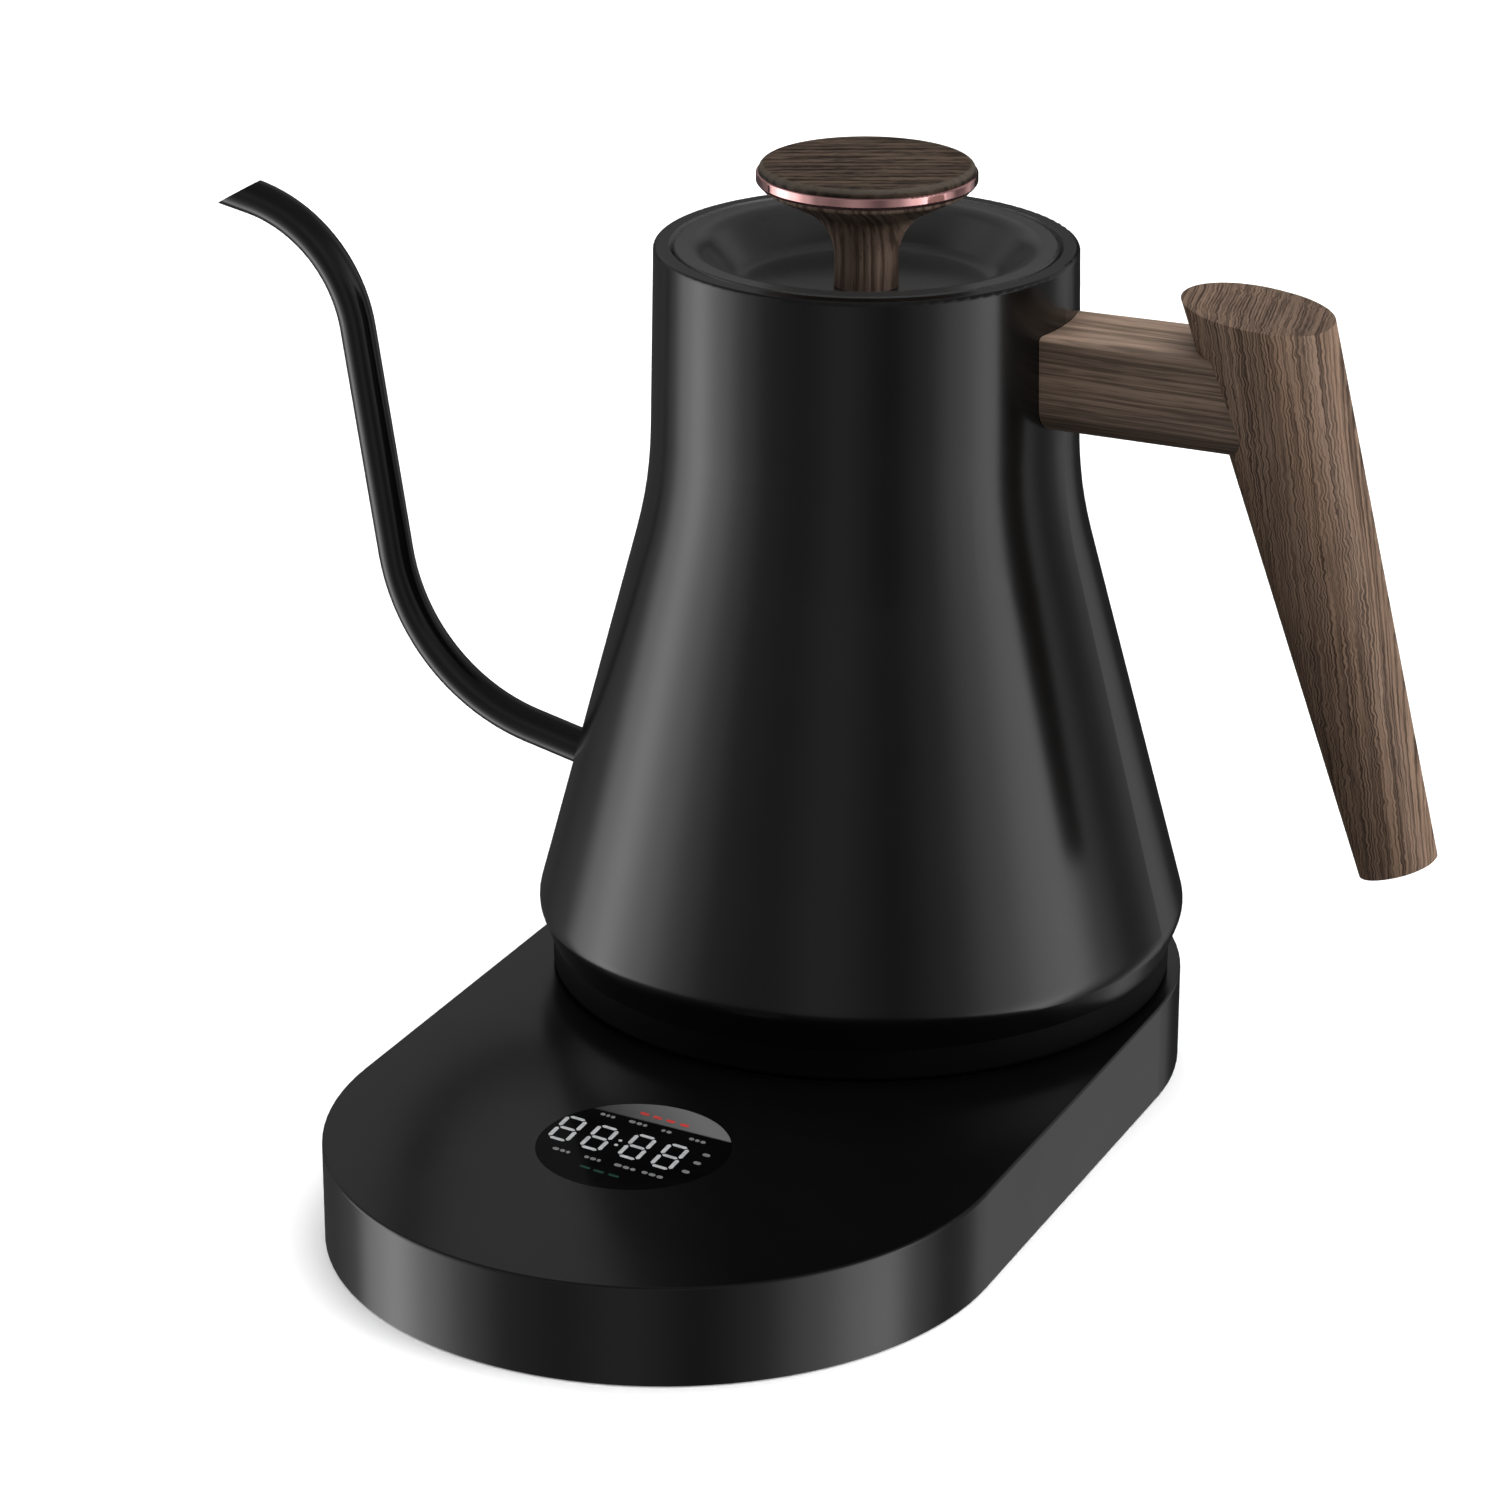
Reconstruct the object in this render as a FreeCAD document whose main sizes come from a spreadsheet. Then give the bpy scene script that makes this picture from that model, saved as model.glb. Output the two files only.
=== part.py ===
import FreeCAD, Part
import math
import os
import re
import Sketcher

# Electric gooseneck pour-over kettle on a stadium-shaped power base, in millimetres.
# The kettle's axis is Z and the table is Z = 0. The handle points to +X, the spout to -X
# and the display end of the base to -Y.

SIZES = [
    ("rim_rad", 45.0, "outer radius of the mouth"),
    ("rim_z", 184.6, "height of the mouth above the table"),
    ("waist_rad", 46.0, "radius where the neck's line meets the cone's line"),
    ("waist_z", 132.1, "height of that meeting"),
    ("waist_bend", 99.0, "radius of the soft bend at the waist"),
    ("foot_rad", 71.3, "widest radius of the vessel"),
    ("foot_z", 36.8, "height of the widest line"),
    ("foot_bend", 6.0, "radius of the rounded foot"),
    ("skirt_rad", 68.4, "radius at the lower edge of the steel"),
    ("skirt_z", 29.1, "height of the lower edge of the steel"),
    ("wall", 1.2, "thickness of the vessel's steel"),
    ("flange_rad", 41.6, "inner radius of the mouth flange"),
    ("ledge_rad", 39.6, "inner radius of the ledge that carries the lid"),
    ("ledge_z", 176.6, "top of that ledge"),
    ("floor_z", 46.0, "top of the vessel's floor"),
    ("diffuser_rad", 58.0, "radius of the aluminium heat diffuser"),
    ("diffuser_thick", 3.0, "thickness of the diffuser"),
    ("element_rad", 46.0, "radius of the heating ring's centre line"),
    ("element_tube", 3.6, "radius of the heating ring's tube"),
    ("stud_ring", 61.5, "radius of the circle of weld studs"),
    ("stud_rad", 3.0, "radius of a weld stud"),
    ("cover_low", 21.9, "underside of the kettle's bottom cover"),
    ("cover_thick", 2.2, "thickness of the bottom cover"),
    ("spout_rad", 4.0, "outer radius of the spout tube"),
    ("spout_wall", 0.9, "wall of the spout tube"),
    ("root_x", 62.0, "spout start, left of the axis"),
    ("root_z", 58.1, "height of the spout's start"),
    ("knee_x", 110.3, "spout's lower corner, left of the axis"),
    ("knee_z", 69.8, "height of the lower corner"),
    ("knee_bend", 45.0, "radius of the lower bend"),
    ("neck_x", 126.6, "spout's upper corner, left of the axis"),
    ("neck_z", 173.3, "height of the upper corner"),
    ("neck_bend", 33.0, "radius of the upper bend"),
    ("neck_slope", 0.2126, "rise of the last run for each millimetre outwards"),
    ("beak_x", 158.9, "tip of the beak, left of the axis"),
    ("beak_z", 174.9, "height of the beak's tip"),
    ("beak_back", 12.1, "length of the slanted cut, level"),
    ("beak_rise", 7.1, "height of the slanted cut"),
    ("arm_low", 151.6, "underside of the handle's arm"),
    ("arm_high", 172.5, "top of the handle's arm"),
    ("arm_root", 11.3, "half width of the arm at the kettle"),
    ("arm_end", 12.2, "half width of the arm at the grip"),
    ("arm_reach", 92.0, "outer end of the arm"),
    ("arm_round", 5.2, "rounding of the arm's lower edges"),
    ("grip_top_x", 92.0, "centre of the grip at grip_top_z"),
    ("grip_top_z", 165.0, "height of the upper section"),
    ("grip_top_half", 14.3, "half width there, along X"),
    ("grip_top_deep", 14.0, "half depth there, along Y"),
    ("grip_top_inner", 13.9, "rounding there, towards the kettle"),
    ("grip_top_outer", 13.0, "rounding there, away from the kettle"),
    ("grip_low_x", 120.7, "centre of the grip at grip_low_z"),
    ("grip_low_z", 70.0, "height of the lower section"),
    ("grip_low_half", 9.0, "half width there, along X"),
    ("grip_low_deep", 9.0, "half depth there, along Y"),
    ("grip_low_inner", 8.9, "rounding there, towards the kettle"),
    ("grip_low_outer", 8.3, "rounding there, away from the kettle"),
    ("grip_cut_z", 180.9, "height of the top cut on the grip's centre line"),
    ("grip_cut_tilt", 7.5, "how far the top cut falls outwards, in degrees"),
    ("grip_end_z", 64.0, "height of the bottom cut on the grip's centre line"),
    ("grip_end_tilt", -18.0, "how far the bottom cut falls outwards, in degrees"),
    ("tenon_half", 5.0, "half width of the bracket's tongue"),
    ("tenon_low", 157.0, "underside of the tongue"),
    ("tenon_high", 167.0, "top of the tongue"),
    ("tenon_reach", 72.0, "outer end of the tongue"),
    ("lid_rad", 40.7, "radius of the lid"),
    ("lid_flat", 35.1, "inner radius of the lid's level border"),
    ("lid_thick", 0.8, "thickness of the lid's steel"),
    ("dish_rad", 27.4, "radius of the lid's sunken floor"),
    ("dish_z", 175.8, "height of the sunken floor"),
    ("dish_bend", 4.5, "radius of the soft bends into the dish"),
    ("plug_rad", 39.2, "radius of the cup under the lid"),
    ("plug_low", 166.2, "underside of that cup"),
    ("stem_foot", 6.9, "radius of the knob's stem at the lid"),
    ("stem_rad", 6.4, "radius of the stem below its flare"),
    ("stem_flare_z", 188.9, "height where the flare's line meets the stem"),
    ("stem_bend", 12.6, "radius of the flare"),
    ("flare_rad", 22.1, "radius of the flare's rim"),
    ("flare_z", 196.9, "height of the flare's lower rim"),
    ("band_low", 197.8, "underside of the metal ring"),
    ("band_high", 200.4, "top of the metal ring"),
    ("band_rad", 23.35, "outer radius of the metal ring"),
    ("band_foot", 22.9, "outer radius of the metal ring's underside"),
    ("band_bevel", 0.6, "height of the bevel between the ring's underside and its side"),
    ("band_core", 20.5, "inner radius of the metal ring"),
    ("disc_rad", 22.8, "radius of the knob's top disc"),
    ("disc_high", 202.2, "top of the knob"),
    ("base_rad", 71.0, "radius of the base's round ends"),
    ("base_reach", 99.1, "distance between the two round ends' centres"),
    ("base_top", 21.6, "height of the base"),
    ("base_lift", 0.3, "gap under the base's wall"),
    ("base_wall", 2.4, "wall of the base"),
    ("base_skin", 2.2, "thickness of the base's top"),
    ("plate_low", 1.4, "underside of the bottom plate"),
    ("plate_thick", 3.0, "thickness of the bottom plate"),
    ("boss_rad", 3.6, "radius of a screw boss"),
    ("foot_pad_rad", 6.5, "radius of a rubber foot"),
    ("display_rad", 20.0, "radius of the display glass"),
    ("display_x", -2.8, "centre of the display, across the base"),
    ("display_y", -109.5, "centre of the display, along the base"),
    ("glass_thick", 2.2, "thickness of the display glass"),
    ("socket_rad", 17.5, "radius of the connector boss"),
    ("socket_top", 30.0, "top of the connector boss"),
    ("socket_flange", 24.0, "radius of the flange under the base's top"),
    ("socket_low", 4.5, "underside of the connector socket"),
    ("socket_floor", 12.5, "floor of the connector's ring slots"),
    ("pin_rad", 2.4, "radius of the kettle's centre pin"),
    ("pin_well", 3.8, "radius of the well round that pin"),
    ("spring_well_in", 4.8, "inner radius of the shutter's slot"),
    ("spring_well_out", 9.2, "outer radius of the shutter's slot"),
    ("shutter_in", 5.0, "inner radius of the shutter ring"),
    ("shutter_out", 9.0, "outer radius of the shutter ring"),
    ("blade_well_in", 10.0, "inner radius of the blade's slot"),
    ("blade_well_out", 13.6, "outer radius of the blade's slot"),
    ("blade_in", 11.2, "inner radius of the kettle's ring blade"),
    ("blade_out", 12.2, "outer radius of the kettle's ring blade"),
    ("spring_rad", 7.0, "radius of the shutter spring's coil"),
    ("spring_wire", 0.35, "radius of the spring's wire"),
    ("gap", 0.3, "clearance between pieces that part"),
    ("board_half", 42.0, "half width of the control board"),
    ("board_front", -78.0, "front edge of the control board"),
    ("board_back", -34.0, "back edge of the control board"),
    ("board_lift", 2.5, "height of the posts under the control board"),
    ("board_thick", 1.6, "thickness of the circuit boards"),
    ("inlet_z", 11.0, "height of the cord inlet"),
    ("inlet_bore", 3.6, "radius of the cord inlet's bore"),
    ("inlet_rad", 5.5, "radius of the inlet bush in the wall"),
    ("inlet_flange", 6.5, "radius of the inlet bush's flanges"),
]

FULL_TURN = 360.0

doc = FreeCAD.newDocument("GooseneckKettle")
sheet = doc.addObject("Spreadsheet::Sheet", "Sizes")
for row, (alias, amount, note) in enumerate(SIZES, start=1):
    sheet.set(f"A{row}", alias)
    sheet.set(f"B{row}", str(amount))
    sheet.setAlias(f"B{row}", alias)
    sheet.set(f"C{row}", note)
doc.recompute()

sub_parts = []


def spell(formula):
    """A formula of sheet names, spelled so that any object of the document can use it."""
    return re.sub(r"\b([a-z]+_[a-z_]+|wall|gap)\b", r"Sizes.\1", str(formula))


def size(formula):
    """What a formula of sheet names comes to, in millimetres."""
    return float(sheet.evalExpression(spell(formula)))


def bind(thing, **formulas):
    """Bind properties to sheet formulas."""
    for name, formula in formulas.items():
        thing.setExpression(name, spell(formula))


def place(thing, x="0", y="0", z="0"):
    """Bind an object's position to sheet formulas."""
    for axis, formula in (("x", x), ("y", y), ("z", z)):
        thing.setExpression(f"Placement.Base.{axis}", spell(formula))


def finish(thing, label):
    """Name a finished sub-part and keep it for the parts folder."""
    thing.Label = label
    sub_parts.append(thing)
    return thing


# ---- sketches -------------------------------------------------------------------------


def sketch_on(body, role, name, lift="0"):
    """A sketch on one of the body's own origin planes, lifted along the plane's normal."""
    sketch = body.newObject("Sketcher::SketchObject", name)
    plane = [item for item in body.Origin.OriginFeatures if item.Role == role][0]
    sketch.AttachmentSupport = [(plane, "")]
    sketch.MapMode = "FlatFace"
    sketch.setExpression("AttachmentOffset.Base.z", spell(lift))
    return sketch


def hold(sketch, item, end, x, y):
    """Pin one point of the sketch at sheet formulas, measured from its origin."""
    for kind, axis, formula in (("DistanceX", -2, x), ("DistanceY", -1, y)):
        if formula == "0":
            sketch.addConstraint(Sketcher.Constraint("PointOnObject", item, end, axis))
            continue
        number = sketch.addConstraint(Sketcher.Constraint(kind, item, end, size(formula)))
        sketch.setExpression(f"Constraints[{number}]", spell(formula))


def round_corner(sketch, spot, before, after, corner):
    """A tangent arc in place of a sharp corner, held by its radius and the corner's place."""
    radius = size(corner[2])
    start = sketch.getPoint(before, 2)
    end = sketch.getPoint(after, 1)
    turn = (spot - start).cross(end - spot).z
    to_centre = ((start - spot).normalize() + (end - spot).normalize()).normalize()
    centre = spot + to_centre * math.hypot(radius, (start - spot).Length)
    first, last = (start, end) if turn > 0 else (end, start)
    angles = [math.atan2(point.y - centre.y, point.x - centre.x) for point in (first, last)]
    circle = Part.Circle(centre, FreeCAD.Vector(0, 0, 1), radius)
    arc = sketch.addGeometry(Part.ArcOfCircle(circle, angles[0], angles[1]))
    arc_in, arc_out = (1, 2) if turn > 0 else (2, 1)
    sketch.addConstraint(Sketcher.Constraint("Tangent", before, 2, arc, arc_in))
    sketch.addConstraint(Sketcher.Constraint("Tangent", arc, arc_out, after, 1))
    number = sketch.addConstraint(Sketcher.Constraint("Radius", arc, radius))
    sketch.setExpression(f"Constraints[{number}]", spell(corner[2]))
    pin = sketch.addGeometry(Part.Point(spot), True)
    sketch.addConstraint(Sketcher.Constraint("PointOnObject", pin, 1, before))
    sketch.addConstraint(Sketcher.Constraint("PointOnObject", pin, 1, after))
    hold(sketch, pin, 1, corner[0], corner[1])


def draw(sketch, corners, closed=True):
    """Straight sides through corners (x, y), or (x, y, radius) where the corner is rounded."""
    spots = [FreeCAD.Vector(size(corner[0]), size(corner[1]), 0) for corner in corners]
    count = len(corners)
    trims = []
    for index, corner in enumerate(corners):
        if len(corner) == 2:
            trims.append(0.0)
            continue
        back = spots[index - 1] - spots[index]
        ahead = spots[(index + 1) % count] - spots[index]
        trims.append(size(corner[2]) / math.tan(back.getAngle(ahead) / 2))
    lines = []
    for index in range(count if closed else count - 1):
        follow = (index + 1) % count
        step = (spots[follow] - spots[index]).normalize()
        near = spots[index] + step * trims[index]
        far = spots[follow] - step * trims[follow]
        lines.append(sketch.addGeometry(Part.LineSegment(near, far)))
    for index, corner in enumerate(corners):
        if not closed and index == count - 1:
            hold(sketch, lines[-1], 2, corner[0], corner[1])
        elif not closed and index == 0:
            hold(sketch, lines[0], 1, corner[0], corner[1])
        elif len(corner) == 3:
            round_corner(sketch, spots[index], lines[index - 1], lines[index], corner)
        else:
            joint = Sketcher.Constraint("Coincident", lines[index - 1], 2, lines[index], 1)
            sketch.addConstraint(joint)
            hold(sketch, lines[index], 1, corner[0], corner[1])


def draw_circle(sketch, x, y, radius):
    """A circle held by its centre and radius."""
    centre = FreeCAD.Vector(size(x), size(y), 0)
    item = sketch.addGeometry(Part.Circle(centre, FreeCAD.Vector(0, 0, 1), size(radius)))
    hold(sketch, item, 3, x, y)
    number = sketch.addConstraint(Sketcher.Constraint("Radius", item, size(radius)))
    sketch.setExpression(f"Constraints[{number}]", spell(radius))


def draw_stadium(sketch, radius, reach):
    """Two round ends joined by straight sides; the back end's centre is the sketch's origin."""
    rad = size(radius)
    far = -size(reach)
    up = FreeCAD.Vector(0, 0, 1)
    back = Part.ArcOfCircle(Part.Circle(FreeCAD.Vector(0, 0, 0), up, rad), 0, math.pi)
    front = Part.ArcOfCircle(Part.Circle(FreeCAD.Vector(0, far, 0), up, rad), math.pi, 2 * math.pi)
    left = Part.LineSegment(FreeCAD.Vector(-rad, 0, 0), FreeCAD.Vector(-rad, far, 0))
    right = Part.LineSegment(FreeCAD.Vector(rad, far, 0), FreeCAD.Vector(rad, 0, 0))
    items = [sketch.addGeometry(item) for item in (back, left, front, right)]
    for index, item in enumerate(items):
        follow = items[(index + 1) % 4]
        sketch.addConstraint(Sketcher.Constraint("Tangent", item, 2, follow, 1))
    sketch.addConstraint(Sketcher.Constraint("Coincident", items[0], 3, -1, 1))
    hold(sketch, items[2], 3, "0", f"-({reach})")
    number = sketch.addConstraint(Sketcher.Constraint("Radius", items[0], rad))
    sketch.setExpression(f"Constraints[{number}]", spell(radius))


# ---- features -------------------------------------------------------------------------


def new_body(name):
    """An empty body; its name is the sub-part's in capitals and small letters."""
    return doc.addObject("PartDesign::Body", name)


def pad(body, sketch, length):
    """Add the sketch's area along its plane's normal."""
    feature = body.newObject("PartDesign::Pad", f"{sketch.Name}Pad")
    feature.Profile = sketch
    bind(feature, Length=length)
    return feature


def pocket(body, sketch, length, reverse=False, both=False):
    """Remove the sketch's area against its plane's normal, or along it, or both ways."""
    before = body.Tip.Shape.Volume
    feature = body.newObject("PartDesign::Pocket", f"{sketch.Name}Pocket")
    feature.Profile = sketch
    feature.Reversed = reverse
    feature.Midplane = both
    bind(feature, Length=length)
    doc.recompute()
    if feature.Shape.Volume >= before:
        raise RuntimeError(f"{feature.Name} cuts nothing")
    return feature


def turned(name, corners):
    """A body turned about Z from its half outline of (radius, height) corners."""
    body = new_body(name)
    sketch = sketch_on(body, "XZ_Plane", f"{name}Outline")
    draw(sketch, corners)
    feature = body.newObject("PartDesign::Revolution", f"{name}Turn")
    feature.Profile = sketch
    feature.ReferenceAxis = (sketch, ["V_Axis"])
    feature.Angle = FULL_TURN
    doc.recompute()
    return body


def fillet(body, radius, wanted):
    """Round the edges of the body that the test picks."""
    base = body.Tip
    names = [f"Edge{n}" for n, edge in enumerate(base.Shape.Edges, start=1) if wanted(edge)]
    feature = body.newObject("PartDesign::Fillet", f"{body.Name}Round{len(body.Group)}")
    feature.Base = (base, names)
    bind(feature, Radius=radius)
    doc.recompute()
    return feature


def cylinder(name, radius, low, high, x="0", y="0"):
    """An upright cylinder between two heights."""
    item = doc.addObject("Part::Cylinder", name)
    bind(item, Radius=radius, Height=f"({high}) - ({low})")
    place(item, x, y, low)
    return item


def box(name, x_low, x_high, y_low, y_high, z_low, z_high):
    """A box between two corners."""
    item = doc.addObject("Part::Box", name)
    bind(
        item,
        Length=f"({x_high}) - ({x_low})",
        Width=f"({y_high}) - ({y_low})",
        Height=f"({z_high}) - ({z_low})",
    )
    place(item, x_low, y_low, z_low)
    return item


def tube(name, inner, outer, low, high, x="0", y="0"):
    """An upright tube between two heights."""
    shell = cylinder(f"{name}Outside", outer, low, high, x, y)
    bore = cylinder(f"{name}Inside", inner, f"{low} - 1", f"{high} + 1", x, y)
    return cut(name, shell, bore)


def joined(name, items):
    """Several solids as one object: touching ones merge, separate ones stay separate."""
    item = doc.addObject("Part::MultiFuse", name)
    item.Shapes = items
    return item


def cut(name, base, *tools):
    """The base without the tools."""
    item = doc.addObject("Part::Cut", name)
    item.Base = base
    item.Tool = tools[0] if len(tools) == 1 else joined(f"{name}Tools", list(tools))
    return item


def common(name, base, tool):
    """What the base and the tool share."""
    item = doc.addObject("Part::Common", name)
    item.Base = base
    item.Tool = tool
    return item


def screws(name, places, head_rad, head_low, shank_rad, shank_low, shank_high):
    """Pan-head screws pointing up, one at each place, as one group of separate solids."""
    items = []
    for number, (x, y) in enumerate(places, start=1):
        items.append(cylinder(f"{name}Head{number}", head_rad, head_low, shank_low, x, y))
        items.append(cylinder(f"{name}Shank{number}", shank_rad, head_low, shank_high, x, y))
    return joined(name, items)


def ring_places(radius, count, first=0.0):
    """Places spread evenly on a circle about Z, as sheet formulas."""
    angles = [first + FULL_TURN * number / count for number in range(count)]
    return [(f"({radius}) * cos({angle})", f"({radius}) * sin({angle})") for angle in angles]


# ---- vessel ---------------------------------------------------------------------------

STUD_PLACES = ring_places("stud_ring", 3, 90.0)


def make_envelope():
    """The vessel's outer form, solid: a tool that trims what is welded to it."""
    corners = [
        ("0", "rim_z"),
        ("rim_rad", "rim_z"),
        ("waist_rad", "waist_z", "waist_bend"),
        ("foot_rad", "foot_z", "foot_bend"),
        ("skirt_rad", "skirt_z"),
        ("0", "skirt_z"),
    ]
    return turned("Envelope", corners)


def make_vessel():
    """Spun steel shell: straight cone, soft waist, slim neck, flanged mouth, open foot."""
    corners = [
        ("flange_rad", "rim_z"),
        ("rim_rad", "rim_z", "wall * 0.7"),
        ("waist_rad", "waist_z", "waist_bend"),
        ("foot_rad", "foot_z", "foot_bend"),
        ("skirt_rad", "skirt_z"),
        ("skirt_rad - wall", "skirt_z"),
        ("foot_rad - wall", "foot_z", "foot_bend - wall"),
        ("waist_rad - wall", "waist_z", "waist_bend + wall"),
        ("rim_rad - wall", "rim_z - wall"),
        ("flange_rad + wall", "rim_z - wall"),
        ("flange_rad + wall", "ledge_z - wall"),
        ("ledge_rad", "ledge_z - wall"),
        ("ledge_rad", "ledge_z"),
        ("flange_rad", "ledge_z"),
    ]
    body = turned("KettleBody", corners)
    hole = sketch_on(body, "YZ_Plane", "SpoutHole")
    draw_circle(hole, "0", "root_z + 0.8", "spout_rad - spout_wall")
    pocket(body, hole, "foot_rad + 5")
    return finish(body, "kettle_body")


def make_floor():
    """Welded floor of the vessel, its edge following the cone."""
    low_rad = "foot_rad - wall - 0.1 - (floor_z - wall - foot_z) * 0.26"
    top_rad = "foot_rad - wall - 0.1 - (floor_z - foot_z) * 0.26"
    corners = [
        ("0", "floor_z - wall"),
        (low_rad, "floor_z - wall"),
        (top_rad, "floor_z"),
        ("0", "floor_z"),
    ]
    return finish(turned("VesselFloor", corners), "vessel_floor")


def make_heater():
    """Diffuser plate, the open heating ring brazed under it, its sensor and its cut-outs."""
    top = "floor_z - wall"
    low = "floor_z - wall - diffuser_thick"
    diffuser = cylinder("HeatDiffuser", "diffuser_rad", low, top)
    finish(diffuser, "heat_diffuser")

    ring = doc.addObject("Part::Torus", "ElementRing")
    bind(ring, Radius1="element_rad", Radius2="element_tube")
    ring.Angle3 = 300.0
    place(ring, z=f"{low} - element_tube")
    ring.Placement.Rotation = FreeCAD.Rotation(FreeCAD.Vector(0, 0, 1), 120.0)
    pins = []
    for number, angle in enumerate((120.0, 60.0), start=1):
        x = f"element_rad * cos({angle})"
        y = f"element_rad * sin({angle})"
        end_low = f"{low} - element_tube - 9"
        end_high = f"{low} - element_tube"
        pins.append(cylinder(f"ElementPin{number}", "element_tube * 0.6", end_low, end_high, x, y))
    element = joined("HeatingElement", [ring] + pins)
    finish(element, "heating_element")

    sensor = cylinder("TemperatureSensor", "4", f"{low} - 6", low, "0", "-28")
    finish(sensor, "temperature_sensor")
    cut_outs = [
        cylinder("CutOutLeft", "7", f"{low} - 5", low, "-31", "0"),
        cylinder("CutOutRight", "7", f"{low} - 5", low, "31", "0"),
    ]
    finish(joined("ThermalCutOuts", cut_outs), "thermal_cutouts")


def make_bottom_cover():
    """Plastic cover that closes the vessel's foot and slides over the connector boss."""
    corners = [
        ("socket_flange - 1", "cover_low"),
        ("skirt_rad - 0.3", "cover_low", "1"),
        ("skirt_rad - 0.3", "skirt_z - 0.05"),
        ("skirt_rad - wall - 0.3", "skirt_z - 0.05"),
        ("skirt_rad - wall - 0.3", "skirt_z + 4"),
        ("skirt_rad - wall - 2.3", "skirt_z + 4"),
        ("skirt_rad - wall - 2.3", "cover_low + cover_thick"),
        ("socket_flange - 1", "cover_low + cover_thick"),
    ]
    body = turned("BottomCover", corners)
    holes = sketch_on(body, "XY_Plane", "CoverHoles", "cover_low")
    sinks = sketch_on(body, "XY_Plane", "CoverSinks", "cover_low")
    for x, y in STUD_PLACES:
        draw_circle(holes, x, y, "1.9")
        draw_circle(sinks, x, y, "3.4")
    doc.recompute()
    pocket(body, holes, "cover_thick * 2", reverse=True)
    pocket(body, sinks, "1.3", reverse=True)
    finish(body, "bottom_cover")

    studs = []
    bores = []
    for number, (x, y) in enumerate(STUD_PLACES, start=1):
        stud_low = "cover_low + cover_thick + 0.1"
        studs.append(cylinder(f"Stud{number}", "stud_rad", stud_low, "floor_z - wall", x, y))
        bores.append(cylinder(f"StudBore{number}", "1.7", "cover_low", "floor_z - 8", x, y))
    finish(cut("WeldStuds", joined("StudBars", studs), *bores), "weld_studs")
    group = screws("CoverScrews", STUD_PLACES, "3.2", "cover_low + 0.2", "1.7",
                   "cover_low + 1.3", "floor_z - 10")
    finish(group, "cover_screws")


def make_plug():
    """The kettle's half of the turning connector: a cup over the boss, ring blade and pin."""
    shell = [
        ("socket_rad + gap * 2", "cover_low + 0.3"),
        ("socket_flange - 1.3", "cover_low + 0.3"),
        ("socket_flange - 1.3", "cover_low + cover_thick + 0.1"),
        ("socket_flange + 3", "cover_low + cover_thick + 0.1"),
        ("socket_flange + 3", "cover_low + cover_thick + 2.1"),
        ("socket_flange - 1.3", "cover_low + cover_thick + 2.1"),
        ("socket_flange - 1.3", "socket_top + 6"),
        ("pin_rad", "socket_top + 6"),
        ("pin_rad", "socket_top + gap * 2"),
        ("shutter_in + 0.9", "socket_top + gap * 2"),
        ("shutter_in + 0.9", "socket_top - 1 + gap"),
        ("shutter_out - 0.9", "socket_top - 1 + gap"),
        ("shutter_out - 0.9", "socket_top + gap * 2"),
        ("blade_in", "socket_top + gap * 2"),
        ("blade_in", "socket_top + 4"),
        ("blade_out", "socket_top + 4"),
        ("blade_out", "socket_top + gap * 2"),
        ("socket_rad + gap * 2", "socket_top + gap * 2"),
    ]
    finish(turned("KettleConnector", shell), "kettle_connector")
    pin = cylinder("PlugPin", "pin_rad", "socket_top - 8", "socket_top + 9")
    blade = tube("PlugBlade", "blade_in", "blade_out", "socket_top - 5", "socket_top + 4")
    finish(joined("KettleContacts", [pin, blade]), "kettle_contacts")


# ---- spout ----------------------------------------------------------------------------


def make_spout(envelope):
    """One bent tube: out of the cone's foot, up beside the vessel and over into a beak."""
    body = new_body("SpoutBend")
    path = sketch_on(body, "XZ_Plane", "SpoutPath")
    tip_x = "-beak_x - 6"
    tip_z = "neck_z + (beak_x + 6 - neck_x) * neck_slope"
    corners = [
        ("-root_x", "root_z"),
        ("-knee_x", "knee_z", "knee_bend"),
        ("-neck_x", "neck_z", "neck_bend"),
        (tip_x, tip_z),
    ]
    draw(path, corners, closed=False)
    doc.recompute()
    ring = body.newObject("Sketcher::SketchObject", "SpoutSection")
    ring.AttachmentSupport = [(path, "Edge1")]
    ring.MapMode = "NormalToEdge"
    draw_circle(ring, "0", "0", "spout_rad")
    draw_circle(ring, "0", "0", "spout_rad - spout_wall")
    doc.recompute()
    pipe = body.newObject("PartDesign::AdditivePipe", "SpoutPipe")
    pipe.Profile = ring
    pipe.Spine = (path, [f"Edge{n}" for n in range(1, len(path.Shape.Edges) + 1)])
    doc.recompute()
    beak = sketch_on(body, "XZ_Plane", "BeakCut")
    draw(beak, [
        ("-beak_x", "beak_z"),
        ("-beak_x + beak_back * 2", "beak_z + beak_rise * 2"),
        ("-beak_x - 15", "beak_z + beak_rise * 2 + 10"),
        ("-beak_x - 15", "beak_z - beak_rise"),
        ("-beak_x", "beak_z - beak_rise"),
    ])
    doc.recompute()
    pocket(body, beak, "spout_rad * 6", both=True)
    finish(cut("SpoutTube", body, envelope), "spout_tube")


# ---- handle ---------------------------------------------------------------------------


def lean(z):
    """The grip's centre line: how far along X it is at a height."""
    slope = "(grip_low_x - grip_top_x) / (grip_top_z - grip_low_z)"
    return f"grip_top_x + (grip_top_z - ({z})) * {slope}"


def grow(top, low, z):
    """A grip half size at a height, straight between its two stated sections."""
    return f"{low} + ({top} - {low}) * (({z}) - grip_low_z) / (grip_top_z - grip_low_z)"


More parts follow.
